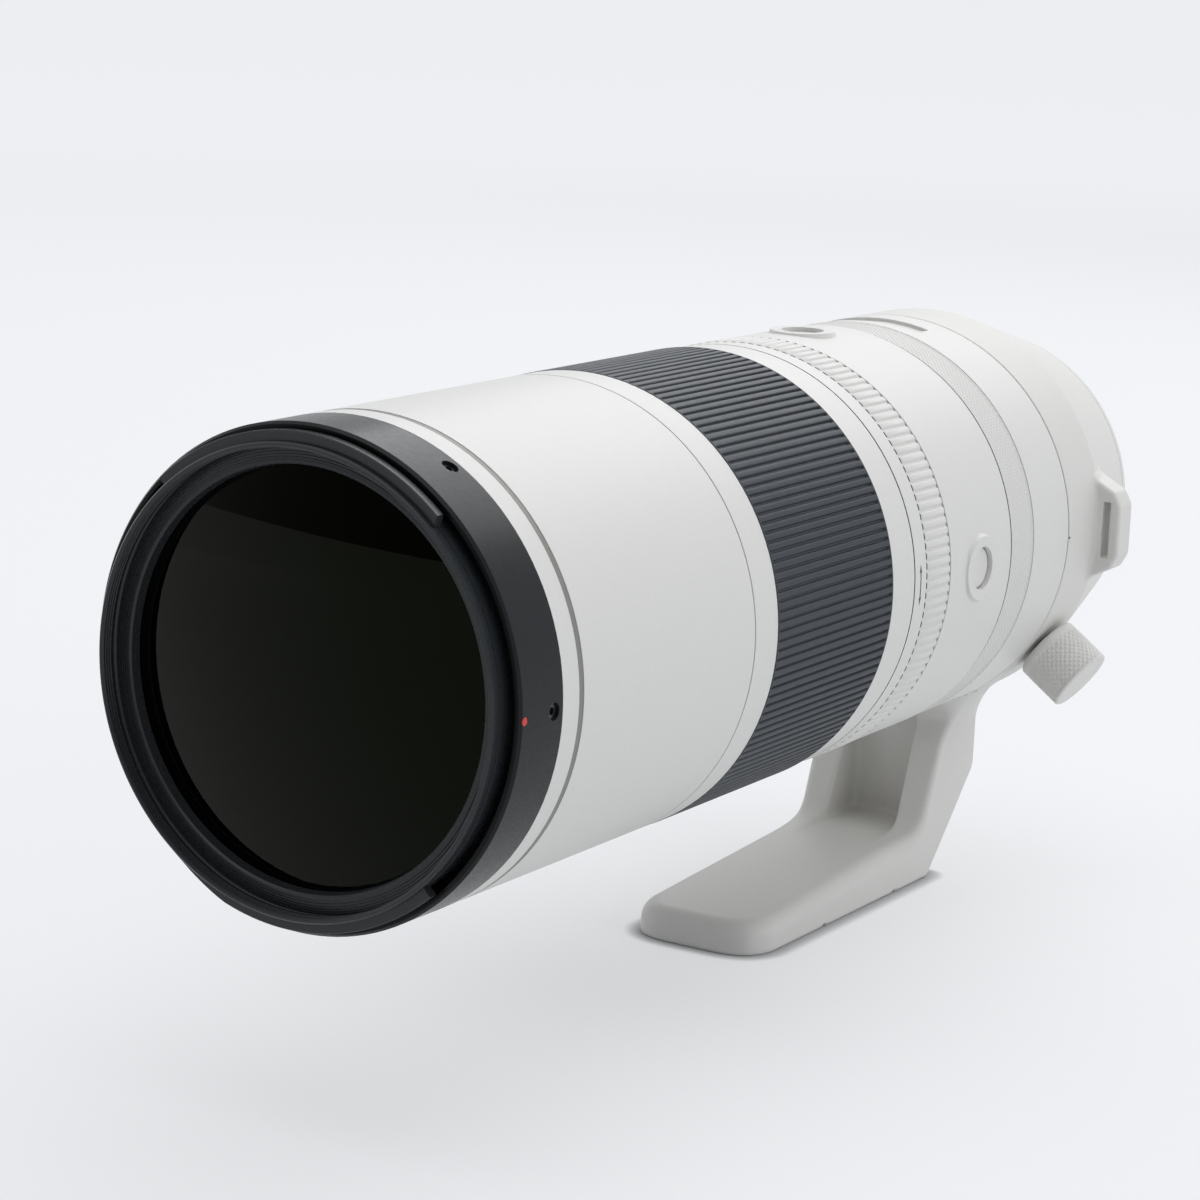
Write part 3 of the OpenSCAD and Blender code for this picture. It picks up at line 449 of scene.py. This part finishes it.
STEEL = brushed("screw_steel", (0.10, 0.10, 0.105), 0.32)
ALLOY = brushed("tube_alloy", (0.05, 0.05, 0.052), 0.4)
BRASS = brushed("bearing_brass", (0.62, 0.46, 0.18), 0.3)
# The front glass is coloured nearly black: painted shade of the dark barrel inside, seen through it
GLASS = lens_glass("front_glass", (0.020, 0.022, 0.017), (0.105, 0.125, 0.075))
GLASS_IN = lens_glass("inner_glass", (0.45, 0.5, 0.38), (0.032, 0.03, 0.016))
RED = painted("mark_red", (0.62, 0.02, 0.015), 0.05, 0.45, 2600, 0.00001)
INK = painted("mark_ink", (0.05, 0.05, 0.052), 0.05, 0.5, 2600, 0.00001)

NODE_MATERIALS = {
    WHITE: ["rear_cover", "zoom_ring", "front_shroud", "name_ring"],
    WHITE_INDEX: ["index_band"],
    WHITE_SHELL: ["switch_shell", "button_shell"],
    WHITE_TUBE: ["extension_tube"],
    WHITE_COLLAR: ["collar_ring"],
    FRONT_EDGED: ["front_ring"],
    INNER_BLACK: ["rear_cell", "focus_cell", "relay_cell", "stab_slider", "stab_cell", "variator_cell",
                  "front_cell", "guide_tube"],
    SEAL: ["mount_gasket"],
    TRIM: ["trim_ring"],
    PLASTIC: ["contact_block", "focus_motor", "iris_housing", "iris_blades", "switch_focus",
              "switch_steady"],
    BOARD: ["main_board"],
    MOUNT: ["mount_ring", "foot_insert"],
    STEEL: ["mount_screws", "focus_rods", "foot_screws", "lock_stud", "set_screws"],
    ALLOY: ["main_tube", "cam_sleeve"],
    BRASS: ["contact_pins", "lock_shoe", "cam_followers"],
    GLASS_IN: ["rear_elements", "focus_elements", "relay_elements", "stab_element", "variator_elements"],
}
for mat, names in NODE_MATERIALS.items():
    for node_name in names:
        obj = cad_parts[node_name]
        obj.data.materials.clear()
        obj.data.materials.append(mat)


def piece(obj, body, slot, *nodes):
    """Puts a piece on the body that carries it and hides the nodes that it stands for; the material slot is
    not used.
    """
    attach(obj, body)
    if nodes:
        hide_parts(*nodes)


# Zoom grip: wide flat ribs with round shoulders and narrow grooves

RIB_SAMPLES = 10


def rib_radii(top, depth, count, share):
    """Radii all round a ribbed ring; the tops take a share of it and the shoulders follow a smooth step."""
    t = (np.arange(count * RIB_SAMPLES) / RIB_SAMPLES + 0.5) % 1.0 - 0.5
    edge = (np.abs(t) - share / 2) / (0.5 - share / 2)
    edge = np.clip(edge * 1.7 + 0.35, 0, 1)
    return top - depth * edge * edge * (3 - 2 * edge)


GRIP_TOP, GRIP_IN = BARREL_R + 0.1, 50.0
GRIP_DEPTH, GRIP_RIBS, GRIP_SHARE = 0.6, 152, 0.62
grip_radii = rib_radii(GRIP_TOP, GRIP_DEPTH, GRIP_RIBS, GRIP_SHARE)
grip_border = np.full_like(grip_radii, GRIP_TOP)
GRIP_END = [(0.02, grip_border - 0.3), (0.1, grip_border - 0.08), (0.25, grip_border), (0.55, grip_border),
            (0.75, (grip_border + grip_radii) / 2), (1.0, grip_radii)]
grip_rows = [(GRIP[0] + offset, radii) for offset, radii in GRIP_END]
grip_rows += [(GRIP[1] - offset, radii) for offset, radii in reversed(GRIP_END)]
grip = polar_ring("grip_ribs", grip_rows, GRIP_IN, RUBBER, 40)
piece(grip, "zoom_drive", "grip_rubber", "zoom_grip")

# Tension ring: square pads with narrow grooves
TENSION_TOP, TENSION_IN = MID_R + 0.15, 50.55
TENSION_DEPTH, TENSION_PADS, TENSION_SHARE = 0.46, 139, 0.58
tension_radii = rib_radii(TENSION_TOP, TENSION_DEPTH, TENSION_PADS, TENSION_SHARE)
TENSION_EDGE = [(offset, np.minimum(tension_radii, TENSION_TOP - drop))
                for offset, drop in ((0, 0.3), (0.1, 0.12), (0.3, 0))]
tension_rows = [(TENSION[0] + offset, radii) for offset, radii in TENSION_EDGE]
tension_rows += [(TENSION[1] - offset, radii) for offset, radii in reversed(TENSION_EDGE)]
tension = polar_ring("tension_pads", tension_rows, TENSION_IN, WHITE_TENSION, 40)
piece(tension, "tension_ring", "white_enamel", "tension_ring")


def diamond(u, v):
    """Height of a diamond knurl from 0 to 1, one diamond per unit of u and of v."""
    def wave(x):
        return 1 - np.abs((x % 1.0) * 2 - 1)
    return np.minimum(wave(u + v), wave(u - v))


# Control ring: fine diamond knurl between two plain edges
CONTROL_DIAMONDS, CONTROL_SAMPLES, CONTROL_PITCH, CONTROL_STEP = 200, 6, 1.56, 0.26
CONTROL_EDGE, CONTROL_FLOOR, CONTROL_HEIGHT, CONTROL_IN = REAR_R + 0.08, REAR_R - 0.3, 0.38, 49.2
control_count = CONTROL_DIAMONDS * CONTROL_SAMPLES
control_turn = np.arange(control_count) / control_count * CONTROL_DIAMONDS
control_rows = [(CONTROL[0], np.full(control_count, REAR_R - 0.1)),
                (CONTROL[0] + 0.3, np.full(control_count, CONTROL_EDGE))]
for s in np.arange(CONTROL[0] + 0.6, CONTROL[1] - 0.75, CONTROL_STEP):
    h = diamond(control_turn, np.full(control_count, (s - CONTROL[0]) / CONTROL_PITCH))
    control_rows.append((float(s), CONTROL_FLOOR + CONTROL_HEIGHT * h))
control_rows += [(CONTROL[1] - 0.5, np.full(control_count, CONTROL_EDGE)),
                 (CONTROL[1], np.full(control_count, REAR_R - 0.4))]
control = polar_ring("control_knurl", control_rows, CONTROL_IN, WHITE_CONTROL, 80)
piece(control, "control_ring", "white_enamel", "control_ring")


# Lock knob: plain foot, knurled side, chamfered end
KNOB_DIAMONDS, KNOB_SAMPLES, KNOB_PITCH, KNOB_STEP, KNOB_HEIGHT = 34, 8, 1.6, 0.17, 0.42
# Heights from the foot or down from the end, and how far the side lies inside the full radius there
KNOB_FOOT = [(0.0, KNOB_R), (0.0, 0.7), (0.35, 0.3), (0.7, 0.12), (2.4, 0.12)]
KNOB_END = [(0.7, 0.1), (0.45, 0.08), (0.1, 0.4), (0.0, 0.65), (0.0, 2.0), (0.0, KNOB_R)]


def knob_mesh():
    count = KNOB_DIAMONDS * KNOB_SAMPLES
    turn = np.arange(count) / count * KNOB_DIAMONDS
    rows = [(z, np.full(count, KNOB_R - drop)) for z, drop in KNOB_FOOT]
    for z in np.arange(2.6, KNOB_L - 0.75, KNOB_STEP):
        h = diamond(turn, np.full(count, z / KNOB_PITCH))
        rows.append((float(z), KNOB_R - KNOB_HEIGHT + KNOB_HEIGHT * h))
    rows += [(KNOB_L - z, np.full(count, KNOB_R - drop)) for z, drop in KNOB_END]
    angles = np.arange(count) * 2 * math.pi / count
    verts, faces = [], []
    for z, r in rows:
        verts += list(zip(r * np.cos(angles), r * np.sin(angles), np.full(count, z + KNOB_R0)))
    for k in range(len(rows) - 1):
        for i in range(count):
            j = (i + 1) % count
            faces.append((k * count + i, k * count + j, (k + 1) * count + j, (k + 1) * count + i))
    return placed(verts, outward(KNOB_ANGLE, KNOB_S)), faces


knob = make_object("knob_knurl", *knob_mesh(), WHITE_SOFT, 80)
piece(knob, "lock_knob", "white_enamel", "lock_knob")


# Foot and strap lugs: castings with round edges that run into the collar

COLLAR_PROFILE = [(0, COLLAR_REAR), (TAPER_R, COLLAR_REAR), (REAR_R, TAPER_END), (REAR_R, COLLAR_FRONT),
                  (0, COLLAR_FRONT)]


COLLAR_SKIN = 0.5


def grown_from_collar(d, x, y, z, radius, reach):
    """A solid with a fillet to the collar, hollow where the collar is."""
    c = polygon_distance(np.sqrt(x * x + z * z), -y + 0 * x, COLLAR_PROFILE)
    root = np.maximum(round_min(d, c, radius) + 0.05, -y - COLLAR_FRONT + COLLAR_SKIN)
    return np.maximum(np.maximum(np.minimum(d, root), -(c + COLLAR_SKIN)), d - reach)


FOOT_END, FOOT_HALF, FOOT_CORNER, FOOT_FILLET, FOOT_REACH = 152, 18, 12, 9.0, 14.0
RECESS_HALF, RECESS_TOP, RECESS_DRAFT, RECESS_BACK, RECESS_FLOOR = 9.6, -62, 0.03, 47.8, -82.2
NICKS, NICK_HALF, NICK_DEPTH = (77.1, 114.5), 0.7, 0.9
FOOT_SIDE = fillet(
    [(33.8, -38), (33.8, -69.1), (76.7, -114.2), (FOOT_END, -114.2), (FOOT_END, -86.4),
     (70.5, -81.8), (63.6, -80.6), (54.4, -58.8), (49, -53.6), (49, -38)],
    [0, 5, 0, 0, 5.5, 9, 7, 9, 6, 0])


def foot_distance(x, y, z):
    """Side view cut by a plan with round corners, with a recess between the legs and nicks below."""
    s = -y
    side = polygon_distance(s, z, FOOT_SIDE)
    qx = np.abs(x) - (FOOT_HALF - FOOT_CORNER)
    qs = s - (FOOT_END - FOOT_CORNER)
    plan = np.sqrt(np.maximum(qx, 0) ** 2 + np.maximum(qs, 0) ** 2) + np.minimum(np.maximum(qx, qs), 0)
    along = np.clip((s - 52) / 28, 0, 1)
    edge = 1.2 + 3.4 * along * along * (3 - 2 * along)
    d = round_max(side + 0 * x, plan - FOOT_CORNER + 0 * z, edge)
    wall = np.abs(x) - (RECESS_HALF + (RECESS_TOP - z) * RECESS_DRAFT)
    recess = round_max(round_max(wall, RECESS_BACK - s + 0 * x, 1.6), RECESS_FLOOR - z + 0 * x, 1.5)
    d = round_max(d, -recess, 1.0)
    d = round_max(d, FOOT_Z - z + 0 * d, 0.8)
    for nick in NICKS:
        d = np.maximum(d, -np.maximum(np.abs(s - nick) - NICK_HALF, z - (FOOT_Z + NICK_DEPTH)))
    return grown_from_collar(d, x, y, z, FOOT_FILLET, FOOT_REACH)


foot = solid_from_distance("foot_casting", foot_distance, (-34, -154, -95.2), (34, -22, -36), 0.65,
                           WHITE_SOFT)
piece(foot, "collar", "white_enamel", "tripod_foot")

LUG_S, LUG_HALF, LUG_FILLET, LUG_REACH = 37, 4, 1.6, 3.0
SLOT_X, SLOT_HALF, SLOT_REACH = 53.7, 1.0, 7.2
LUG_OUTLINE = fillet(
    [(42, -15.2), (49.5, -13.1), (55.6, -9.8), (57.4, -6.4),
     (57.4, 6.4), (55.6, 9.8), (49.5, 13.1), (42, 15.2)],
    [0, 3, 2.5, 4, 4, 2.5, 3, 0])


def lug_distance(x, y, z):
    s = -y
    d = round_max(polygon_distance(x, z, LUG_OUTLINE) + 0 * s, np.abs(s - LUG_S) - LUG_HALF + 0 * x, 1.0)
    slot = np.maximum(np.abs(x - SLOT_X) - SLOT_HALF + 0 * z, np.abs(z) - SLOT_REACH + 0 * x)
    d = round_max(d, -slot + 0 * d, 0.3)
    return grown_from_collar(d, x, y, z, LUG_FILLET, LUG_REACH)


lug = solid_from_distance("strap_lug_left", lug_distance, (42, -45, -19), (59, -28, 19), 0.33, WHITE_SOFT)
piece(lug, "collar", "white_enamel", "strap_lugs")
mirror = lug.data.copy()
mirror.transform(Matrix.Scale(-1, 4, (1, 0, 0)))
mirror.flip_normals()
lug_right = bpy.data.objects.new("strap_lug_right", mirror)
bpy.context.collection.objects.link(lug_right)
piece(lug_right, "collar", "white_enamel")


# Front retaining ring and filter ring: fine turned grooves, a thread and two hood lugs

RETAINER_BACK, RETAINER_IN, RETAINER_OUT, GROOVE_PITCH = 307.2, 43.3, 47.6, 0.56


def retainer_profile():
    """Section of the retaining ring: a raised rim round the glass, then grooves in its face."""
    front, r_in = FRONT_RING_END, RETAINER_IN
    pts = [(r_in - 0.3, RETAINER_BACK), (r_in, front - 0.5),
           (r_in + 0.3, front - 0.15), (r_in + 0.9, front - 0.15)]
    r = r_in + 1.1
    while r < RETAINER_OUT - 0.5:
        pts += [(r, front - 0.2), (r + 0.34, front - 0.2), (r + 0.4, front - 0.42), (r + 0.52, front - 0.42)]
        r += GROOVE_PITCH
    return pts + [(RETAINER_OUT, front), (RETAINER_OUT, RETAINER_BACK)]


retainer = revolve("retainer_grooves", retainer_profile(), LIP_BLACK, 240, 20)
piece(retainer, "front_barrel", "inner_black", "front_retainer")


FILTER_BACK, FILTER_SEAT_R, LIP_R, LIP_GROOVE_R = 296.0, 47.6, 48.2, 47.95
THREAD_R, THREAD_ROOT_R, THREAD_PITCH, THREAD_BACK = 47.0, 47.32, 0.75, 311.2


def filter_profile():
    """Section of the filter ring; the thread is drawn as rings at its pitch."""
    pts = [(FILTER_SEAT_R, FILTER_BACK), (48.5, FILTER_BACK), (48.5, 303.0), (LIP_R, 303.0),
           (LIP_R, 311.3), (LIP_GROOVE_R, 311.4), (LIP_GROOVE_R, 311.6), (LIP_R, 311.7),
           (LIP_R, LIP_END - 0.35), (47.85, LIP_END), (47.5, LIP_END), (47.1, LIP_END - 0.3)]
    s = LIP_END - 0.35
    while s > THREAD_BACK:
        pts += [(THREAD_R, s), (THREAD_R, s - 0.2), (THREAD_ROOT_R, s - 0.4), (THREAD_ROOT_R, s - 0.55)]
        s -= THREAD_PITCH
    return pts + [(THREAD_R, 311.0), (THREAD_R, 310.85), (FILTER_SEAT_R, 310.8)]


def arc_ring(profile, a0, a1, segments, lead):
    """Points and faces of a closed profile of radius and station, turned from a0 to a1 degrees.

    It rises from its first radius at the start, over a lead in degrees.
    """
    n = len(profile)
    base = profile[0][0]
    verts, faces = [], []
    for i in range(segments + 1):
        turned = (a1 - a0) * i / segments
        rise = min(1, 0.15 + turned / lead)
        a = math.radians(a0 + turned)
        verts += [polar(base + (r - base) * rise, s, a) for r, s in profile]
    for i in range(segments):
        for k in range(n):
            m = (k + 1) % n
            faces.append((i * n + k, i * n + m, (i + 1) * n + m, (i + 1) * n + k))
    faces += [tuple(range(n)), tuple(range(segments * n, (segments + 1) * n))]
    return verts, faces


def join_meshes(parts):
    verts, faces = [], []
    for v, f in parts:
        base = len(verts)
        verts += v
        faces += [tuple(base + k for k in face) for face in f]
    return verts, faces


HOOD_LUG = [(47.9, 310.4), (50.2, 310.4), (50.4, 310.6), (50.4, 312.6), (50.2, 312.8), (47.9, 312.8)]
HOOD_LUG_HALF, HOOD_LUG_LEADS = 42.5, ((90, 1), (270, 28))
filter_parts = [revolve_points(filter_profile(), 240)]
for middle, lead in HOOD_LUG_LEADS:
    filter_parts.append(arc_ring(HOOD_LUG, middle - HOOD_LUG_HALF, middle + HOOD_LUG_HALF, 60, lead))
filter_ring = make_object("filter_thread", *join_meshes(filter_parts), LIP_BLACK, 20)
piece(filter_ring, "front_barrel", "front_black", "filter_ring")


# Front glass: smooth curved faces

def sag(curve, r):
    return curve - math.sqrt(curve * curve - r * r)


def glass_profile(rear, front, r_out, front_curve, rear_curve, steps=36):
    """Section of a lens that bulges to the front and is hollow at the rear."""
    radii = [r_out * k / steps for k in range(steps + 1)]
    face = [(r, front + sag(front_curve, r_out) - sag(front_curve, r)) for r in radii]
    back = [(r, rear + sag(rear_curve, r_out) - sag(rear_curve, r)) for r in reversed(radii)]
    return face + back


GLASS_R, FRONT_CURVE = 43.88, 260
front_glass = revolve("front_glass", glass_profile(300.2, 306.9, GLASS_R, FRONT_CURVE, 800), GLASS, 180, 30)
piece(front_glass, "front_barrel", "optical_glass", "front_element")
cemented = revolve("front_pair", glass_profile(281.0, 295.5, GLASS_R, FRONT_CURVE, 300), GLASS_IN, 180, 30)
piece(cemented, "front_barrel", "optical_glass", "front_doublet")


# Button caps: round rims and a shallow dish

def turned_cap(profile, segments, angle, station):
    """Points and faces of a profile of radius and height, turned round a line out of the barrel."""
    n = len(profile)
    verts, faces = [], []
    for i in range(segments):
        a = i * 2 * math.pi / segments
        verts += [(r * math.cos(a), r * math.sin(a), z) for r, z in profile]
        j = (i + 1) % segments
        faces += [(i * n + k, i * n + k + 1, j * n + k + 1, j * n + k) for k in range(n - 1)]
    return placed(verts, outward(angle, station)), faces


CAP = [(0, 49.85), (5.9, 49.85), (5.95, 49.9), (5.95, 50.25), (5.9, 50.3), (4.9, 50.3), (4.9, 50.62),
       (4.82, 50.76), (4.66, 50.85), (4.4, 50.9), (3.9, 50.88), (2.6, 50.8), (1.3, 50.76), (0, 50.75)]
for side, angle in (("side", 0), ("top", 90)):
    cap = make_object("button_cap_" + side, *turned_cap(CAP, 72, angle, BUTTON_S), WHITE, 50)
    piece(cap, "button_" + side, "white_enamel", "button_" + side)


# Marks: thin discs and strokes that follow the barrel

MARK_LEVELS = (-0.15, 0.03)


def barrel_patch(name, outlines, radius, station, angle_deg, mat):
    """Small outlines laid on the barrel: x runs round it and y runs towards the front."""
    parts = []
    for outline in outlines:
        verts = []
        for level in MARK_LEVELS:
            for x, y in outline:
                a = math.radians(angle_deg) + x / radius
                verts.append(polar(radius + level, station + y, a))
        n = len(outline)
        faces = [tuple(range(n)), tuple(range(n, 2 * n))]
        faces += [(i, (i + 1) % n, n + (i + 1) % n, n + i) for i in range(n)]
        parts.append((verts, faces))
    return make_object(name, *join_meshes(parts), mat)


def disc(r, count=24):
    angles = [2 * math.pi * k / count for k in range(count)]
    return [(r * math.cos(a), r * math.sin(a)) for a in angles]


piece(barrel_patch("front_dot", [disc(0.85)], BARREL_R, 308.5, 0, RED), "front_barrel", "front_black")
piece(barrel_patch("collar_dot", [disc(0.32)], REAR_R, 57.0, 0, INK), "collar", "white_enamel")
# The shaft of the arrow is made of short pieces, so that it follows the barrel
ARROW_S, ARROW_MID, ARROW_HALF = 140.6, 0.8, 4.8
HEAD_BASE, HEAD_HALF, SHAFT_HALF, SHAFT_STEP = ARROW_HALF - 1.9, 0.55, 0.2, 0.75
ARROW = [[(side * ARROW_HALF, 0), (side * HEAD_BASE, HEAD_HALF), (side * HEAD_BASE, -HEAD_HALF)]
         for side in (-1, 1)]
ARROW += [[(x, -SHAFT_HALF), (x + SHAFT_STEP, -SHAFT_HALF), (x + SHAFT_STEP, SHAFT_HALF), (x, SHAFT_HALF)]
          for x in np.arange(-3.0, 2.9, SHAFT_STEP)]
piece(barrel_patch("tension_arrow", ARROW, MID_R, ARROW_S, ARROW_MID, INK), "barrel", "white_enamel")


# Stage, light and camera

def seen_directly(nodes, links):
    """One for rays from the camera, or that mirrors and glass pass on from it."""
    path = nodes.new("ShaderNodeLightPath")
    value = path.outputs["Is Camera Ray"]
    for name in ("Is Glossy Ray", "Is Transmission Ray"):
        value = calculate(nodes, links, "MAXIMUM", value, path.outputs[name])
    return value


def pale_floor_material():
    """Lights the object as a pale surface; seen directly it is paler, keeps a soft shadow and has a painted
    contact shadow next to the object.
    """
    mat, nodes, links, bsdf = new_material("floor_pale", (0.80, 0.815, 0.83), 0.7)
    vary_colour(nodes, links, bsdf, (0.795, 0.81, 0.826), (0.805, 0.82, 0.834), 3)
    matt = nodes.new("ShaderNodeBsdfDiffuse")
    matt.inputs["Color"].default_value = (0.43, 0.435, 0.445, 1)
    distance = length(nodes, links, coordinates(nodes))
    level = mapped(nodes, links, distance, 0.3, 2.6, 0.48, 0.62, smooth=True)
    # Painted contact shadow: the glow seen directly is darkened where the object stands close by
    contact = nodes.new("ShaderNodeAmbientOcclusion")
    contact.samples = 8
    contact.inputs["Distance"].default_value = 0.0045
    painted_contact_shadow = calculate(nodes, links, "POWER", contact.outputs["AO"], 4.0)
    glow = nodes.new("ShaderNodeEmission")
    glow.inputs["Color"].default_value = (0.975, 0.985, 1.0, 1)
    links.new(calculate(nodes, links, "MULTIPLY", level, painted_contact_shadow), glow.inputs["Strength"])
    pale = nodes.new("ShaderNodeAddShader")
    links.new(matt.outputs["BSDF"], pale.inputs[0])
    links.new(glow.outputs["Emission"], pale.inputs[1])
    shown = nodes.new("ShaderNodeMixShader")
    links.new(seen_directly(nodes, links), shown.inputs["Fac"])
    links.new(bsdf.outputs["BSDF"], shown.inputs[1])
    links.new(pale.outputs["Shader"], shown.inputs[2])
    links.new(shown.outputs["Shader"], nodes["Material Output"].inputs["Surface"])
    return mat


FLOOR_SIZE = 60
bpy.ops.mesh.primitive_plane_add(size=FLOOR_SIZE, location=(0, 0, FOOT_Z * MM))
floor = bpy.context.object
floor.name = "floor"
floor.data.materials.append(pale_floor_material())


def studio_world():
    """Even backdrop all round; the room that lights the lens from its front is darker than the rest."""
    world = bpy.data.worlds.new("studio")
    world.use_nodes = True
    nodes, links = world.node_tree.nodes, world.node_tree.links
    background = nodes["Background"]
    background.inputs["Color"].default_value = (0.94, 0.97, 1.0, 1)
    strength = mapped(nodes, links, seen_directly(nodes, links), 0, 1, 0.66, 0.88)
    split = nodes.new("ShaderNodeSeparateXYZ")
    links.new(coordinates(nodes, "Generated"), split.inputs["Vector"])
    room = mapped(nodes, links, split.outputs["Y"], -0.97, -0.2, 0.2, 1.0, smooth=True)
    path = nodes.new("ShaderNodeLightPath")
    even = calculate(nodes, links, "MAXIMUM", room, path.outputs["Is Camera Ray"])
    links.new(calculate(nodes, links, "MULTIPLY", strength, even), background.inputs["Strength"])
    return world


scene = bpy.context.scene
scene.world = studio_world()
LIGHT_TARGET = (0, -0.16, 0)


def area_light(name, location, size, power):
    """A rectangular lamp, in metres and watts, that faces the object."""
    light = bpy.data.lights.new(name, "AREA")
    light.shape = "RECTANGLE"
    light.size, light.size_y = size
    light.energy = power
    obj = bpy.data.objects.new(name, light)
    bpy.context.collection.objects.link(obj)
    obj.location = location
    obj.rotation_euler = (Vector(LIGHT_TARGET) - Vector(location)).to_track_quat("-Z", "Y").to_euler()
    return obj


area_light("overhead", (0.1, -0.2, 1.5), (1.6, 1.6), 7)
rear_top = area_light("rear_top", (-0.2, 1.5, 1.15), (1.7, 1.0), 4.3)
rear_top.data.spread = math.radians(110)
area_light("side_fill", (1.5, 0.1, 0.6), (1.0, 0.9), 4)
left_fill = area_light("left_fill", (-1.3, -1.0, 0.5), (1.8, 1.4), 3.2)
left_fill.visible_glossy = False

# Camera: its axes, place and focal length in pixels of the image
CAMERA_AXES = ((0.8487, 0.52746, 0.03854), (-0.14, 0.1538, 0.97813), (0.51, -0.83554, 0.20437))
CAMERA_AT = (397.038, -848.460, 157.999)
SENSOR_WIDTH, FOCAL_PIXELS, IMAGE_PIXELS = 36, 3469.3246, 1200
camera_data = bpy.data.cameras.new("camera")
camera_data.sensor_width = SENSOR_WIDTH
camera_data.lens = FOCAL_PIXELS * SENSOR_WIDTH / IMAGE_PIXELS
camera_data.clip_end = 100
camera = bpy.data.objects.new("camera", camera_data)
bpy.context.collection.objects.link(camera)
turn = Matrix([Vector(axis).normalized() for axis in CAMERA_AXES]).transposed().to_4x4()
camera.matrix_world = Matrix.Translation(Vector(CAMERA_AT) * MM) @ turn
scene.camera = camera
scene.view_settings.view_transform = "Standard"
